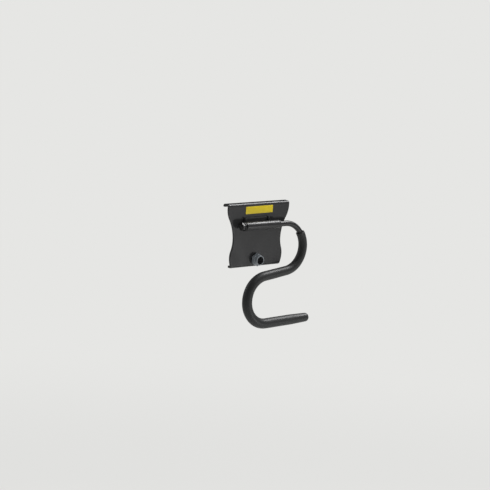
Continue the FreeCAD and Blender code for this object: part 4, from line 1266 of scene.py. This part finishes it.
def add_camera(scene, sizes):
    """A long lens to the left of the front and a little above, as in the photograph."""
    turn, rise, roll = sizes.azimuth, sizes.rise, sizes.roll
    ahead = Vector((math.sin(turn) * math.cos(rise), math.cos(turn) * math.cos(rise),
                    -math.sin(rise)))
    level = Vector((math.cos(turn), -math.sin(turn), 0))
    upright = level.cross(ahead)
    right = level * math.cos(roll) + upright * math.sin(roll)
    up = upright * math.cos(roll) - level * math.sin(roll)
    aim = Vector((-31.3, -12.529, -11.73)) * MM
    half_pixel, sensor_mm, focal_mm = 0.7 * MM, 36.0, 124.9
    place = aim - ahead * sizes.distance + (right + up) * half_pixel
    lens = bpy.data.cameras.new("camera")
    lens.sensor_width = sensor_mm
    lens.lens = focal_mm
    camera = bpy.data.objects.new("camera", lens)
    basis = Matrix((right, up, -ahead)).transposed()
    camera.matrix_world = Matrix.Translation(place) @ basis.to_4x4()
    scene.collection.objects.link(camera)
    scene.camera = camera


class UTILITYHOOK_OT_stage(bpy.types.Operator):
    """Build the floor, the soft lights, the world and the camera"""

    bl_idname = "utility_hook.stage"
    bl_label = "Stage"

    def execute(self, context):
        sizes = context.scene.hook_stage
        add_floor(sizes)
        add_world(context.scene)
        add_light("key_light", (1.22, -1.88, -0.79), 0.3, 9.0)
        add_light("top_light", (1.4, -0.16, 1.7), 0.5, 60.0)
        add_light("back_light", (-0.8, 2.0, 0.8), 1.4, 10.0)
        add_camera(context.scene, sizes)
        context.scene.view_settings.view_transform = "Standard"
        return {"FINISHED"}


class UTILITYHOOK_PT_panel(bpy.types.Panel):
    """The steps that build the hook, in their order"""

    bl_idname = "UTILITYHOOK_PT_panel"
    bl_label = "Utility Hook"
    bl_space_type = "VIEW_3D"
    bl_region_type = "UI"
    bl_category = "Utility Hook"

    def draw(self, context):
        for step in STEPS:
            self.layout.operator(step.bl_idname)
        for group in ("hook_plate", "hook_rod", "hook_lock", "hook_stage"):
            settings = getattr(context.scene, group)
            box = self.layout.box()
            for name in settings.__annotations__:
                box.prop(settings, name)


GROUPS = {
    "hook_plate": PlateSettings,
    "hook_rod": HookSettings,
    "hook_lock": LockSettings,
    "hook_stage": StageSettings,
}
STEPS = (
    UTILITYHOOK_OT_stage,
    UTILITYHOOK_OT_plate,
    UTILITYHOOK_OT_label,
    UTILITYHOOK_OT_tube,
    UTILITYHOOK_OT_rod,
    UTILITYHOOK_OT_sleeve,
    UTILITYHOOK_OT_nut,
    UTILITYHOOK_OT_knob,
    UTILITYHOOK_OT_tongue,
)


def register():
    for kind in (*GROUPS.values(), *STEPS, UTILITYHOOK_PT_panel):
        bpy.utils.register_class(kind)
    for name, kind in GROUPS.items():
        setattr(bpy.types.Scene, name, PointerProperty(type=kind))


def unregister():
    for name in GROUPS:
        delattr(bpy.types.Scene, name)
    for kind in (UTILITYHOOK_PT_panel, *reversed(STEPS), *reversed(GROUPS.values())):
        bpy.utils.unregister_class(kind)


def main():
    register()
    bpy.ops.utility_hook.stage()
    bpy.ops.utility_hook.plate()
    bpy.ops.utility_hook.label()
    bpy.ops.utility_hook.tube()
    bpy.ops.utility_hook.rod()
    bpy.ops.utility_hook.sleeve()
    bpy.ops.utility_hook.nut()
    bpy.ops.utility_hook.knob()
    bpy.ops.utility_hook.tongue()


if __name__ == "__main__":
    main()
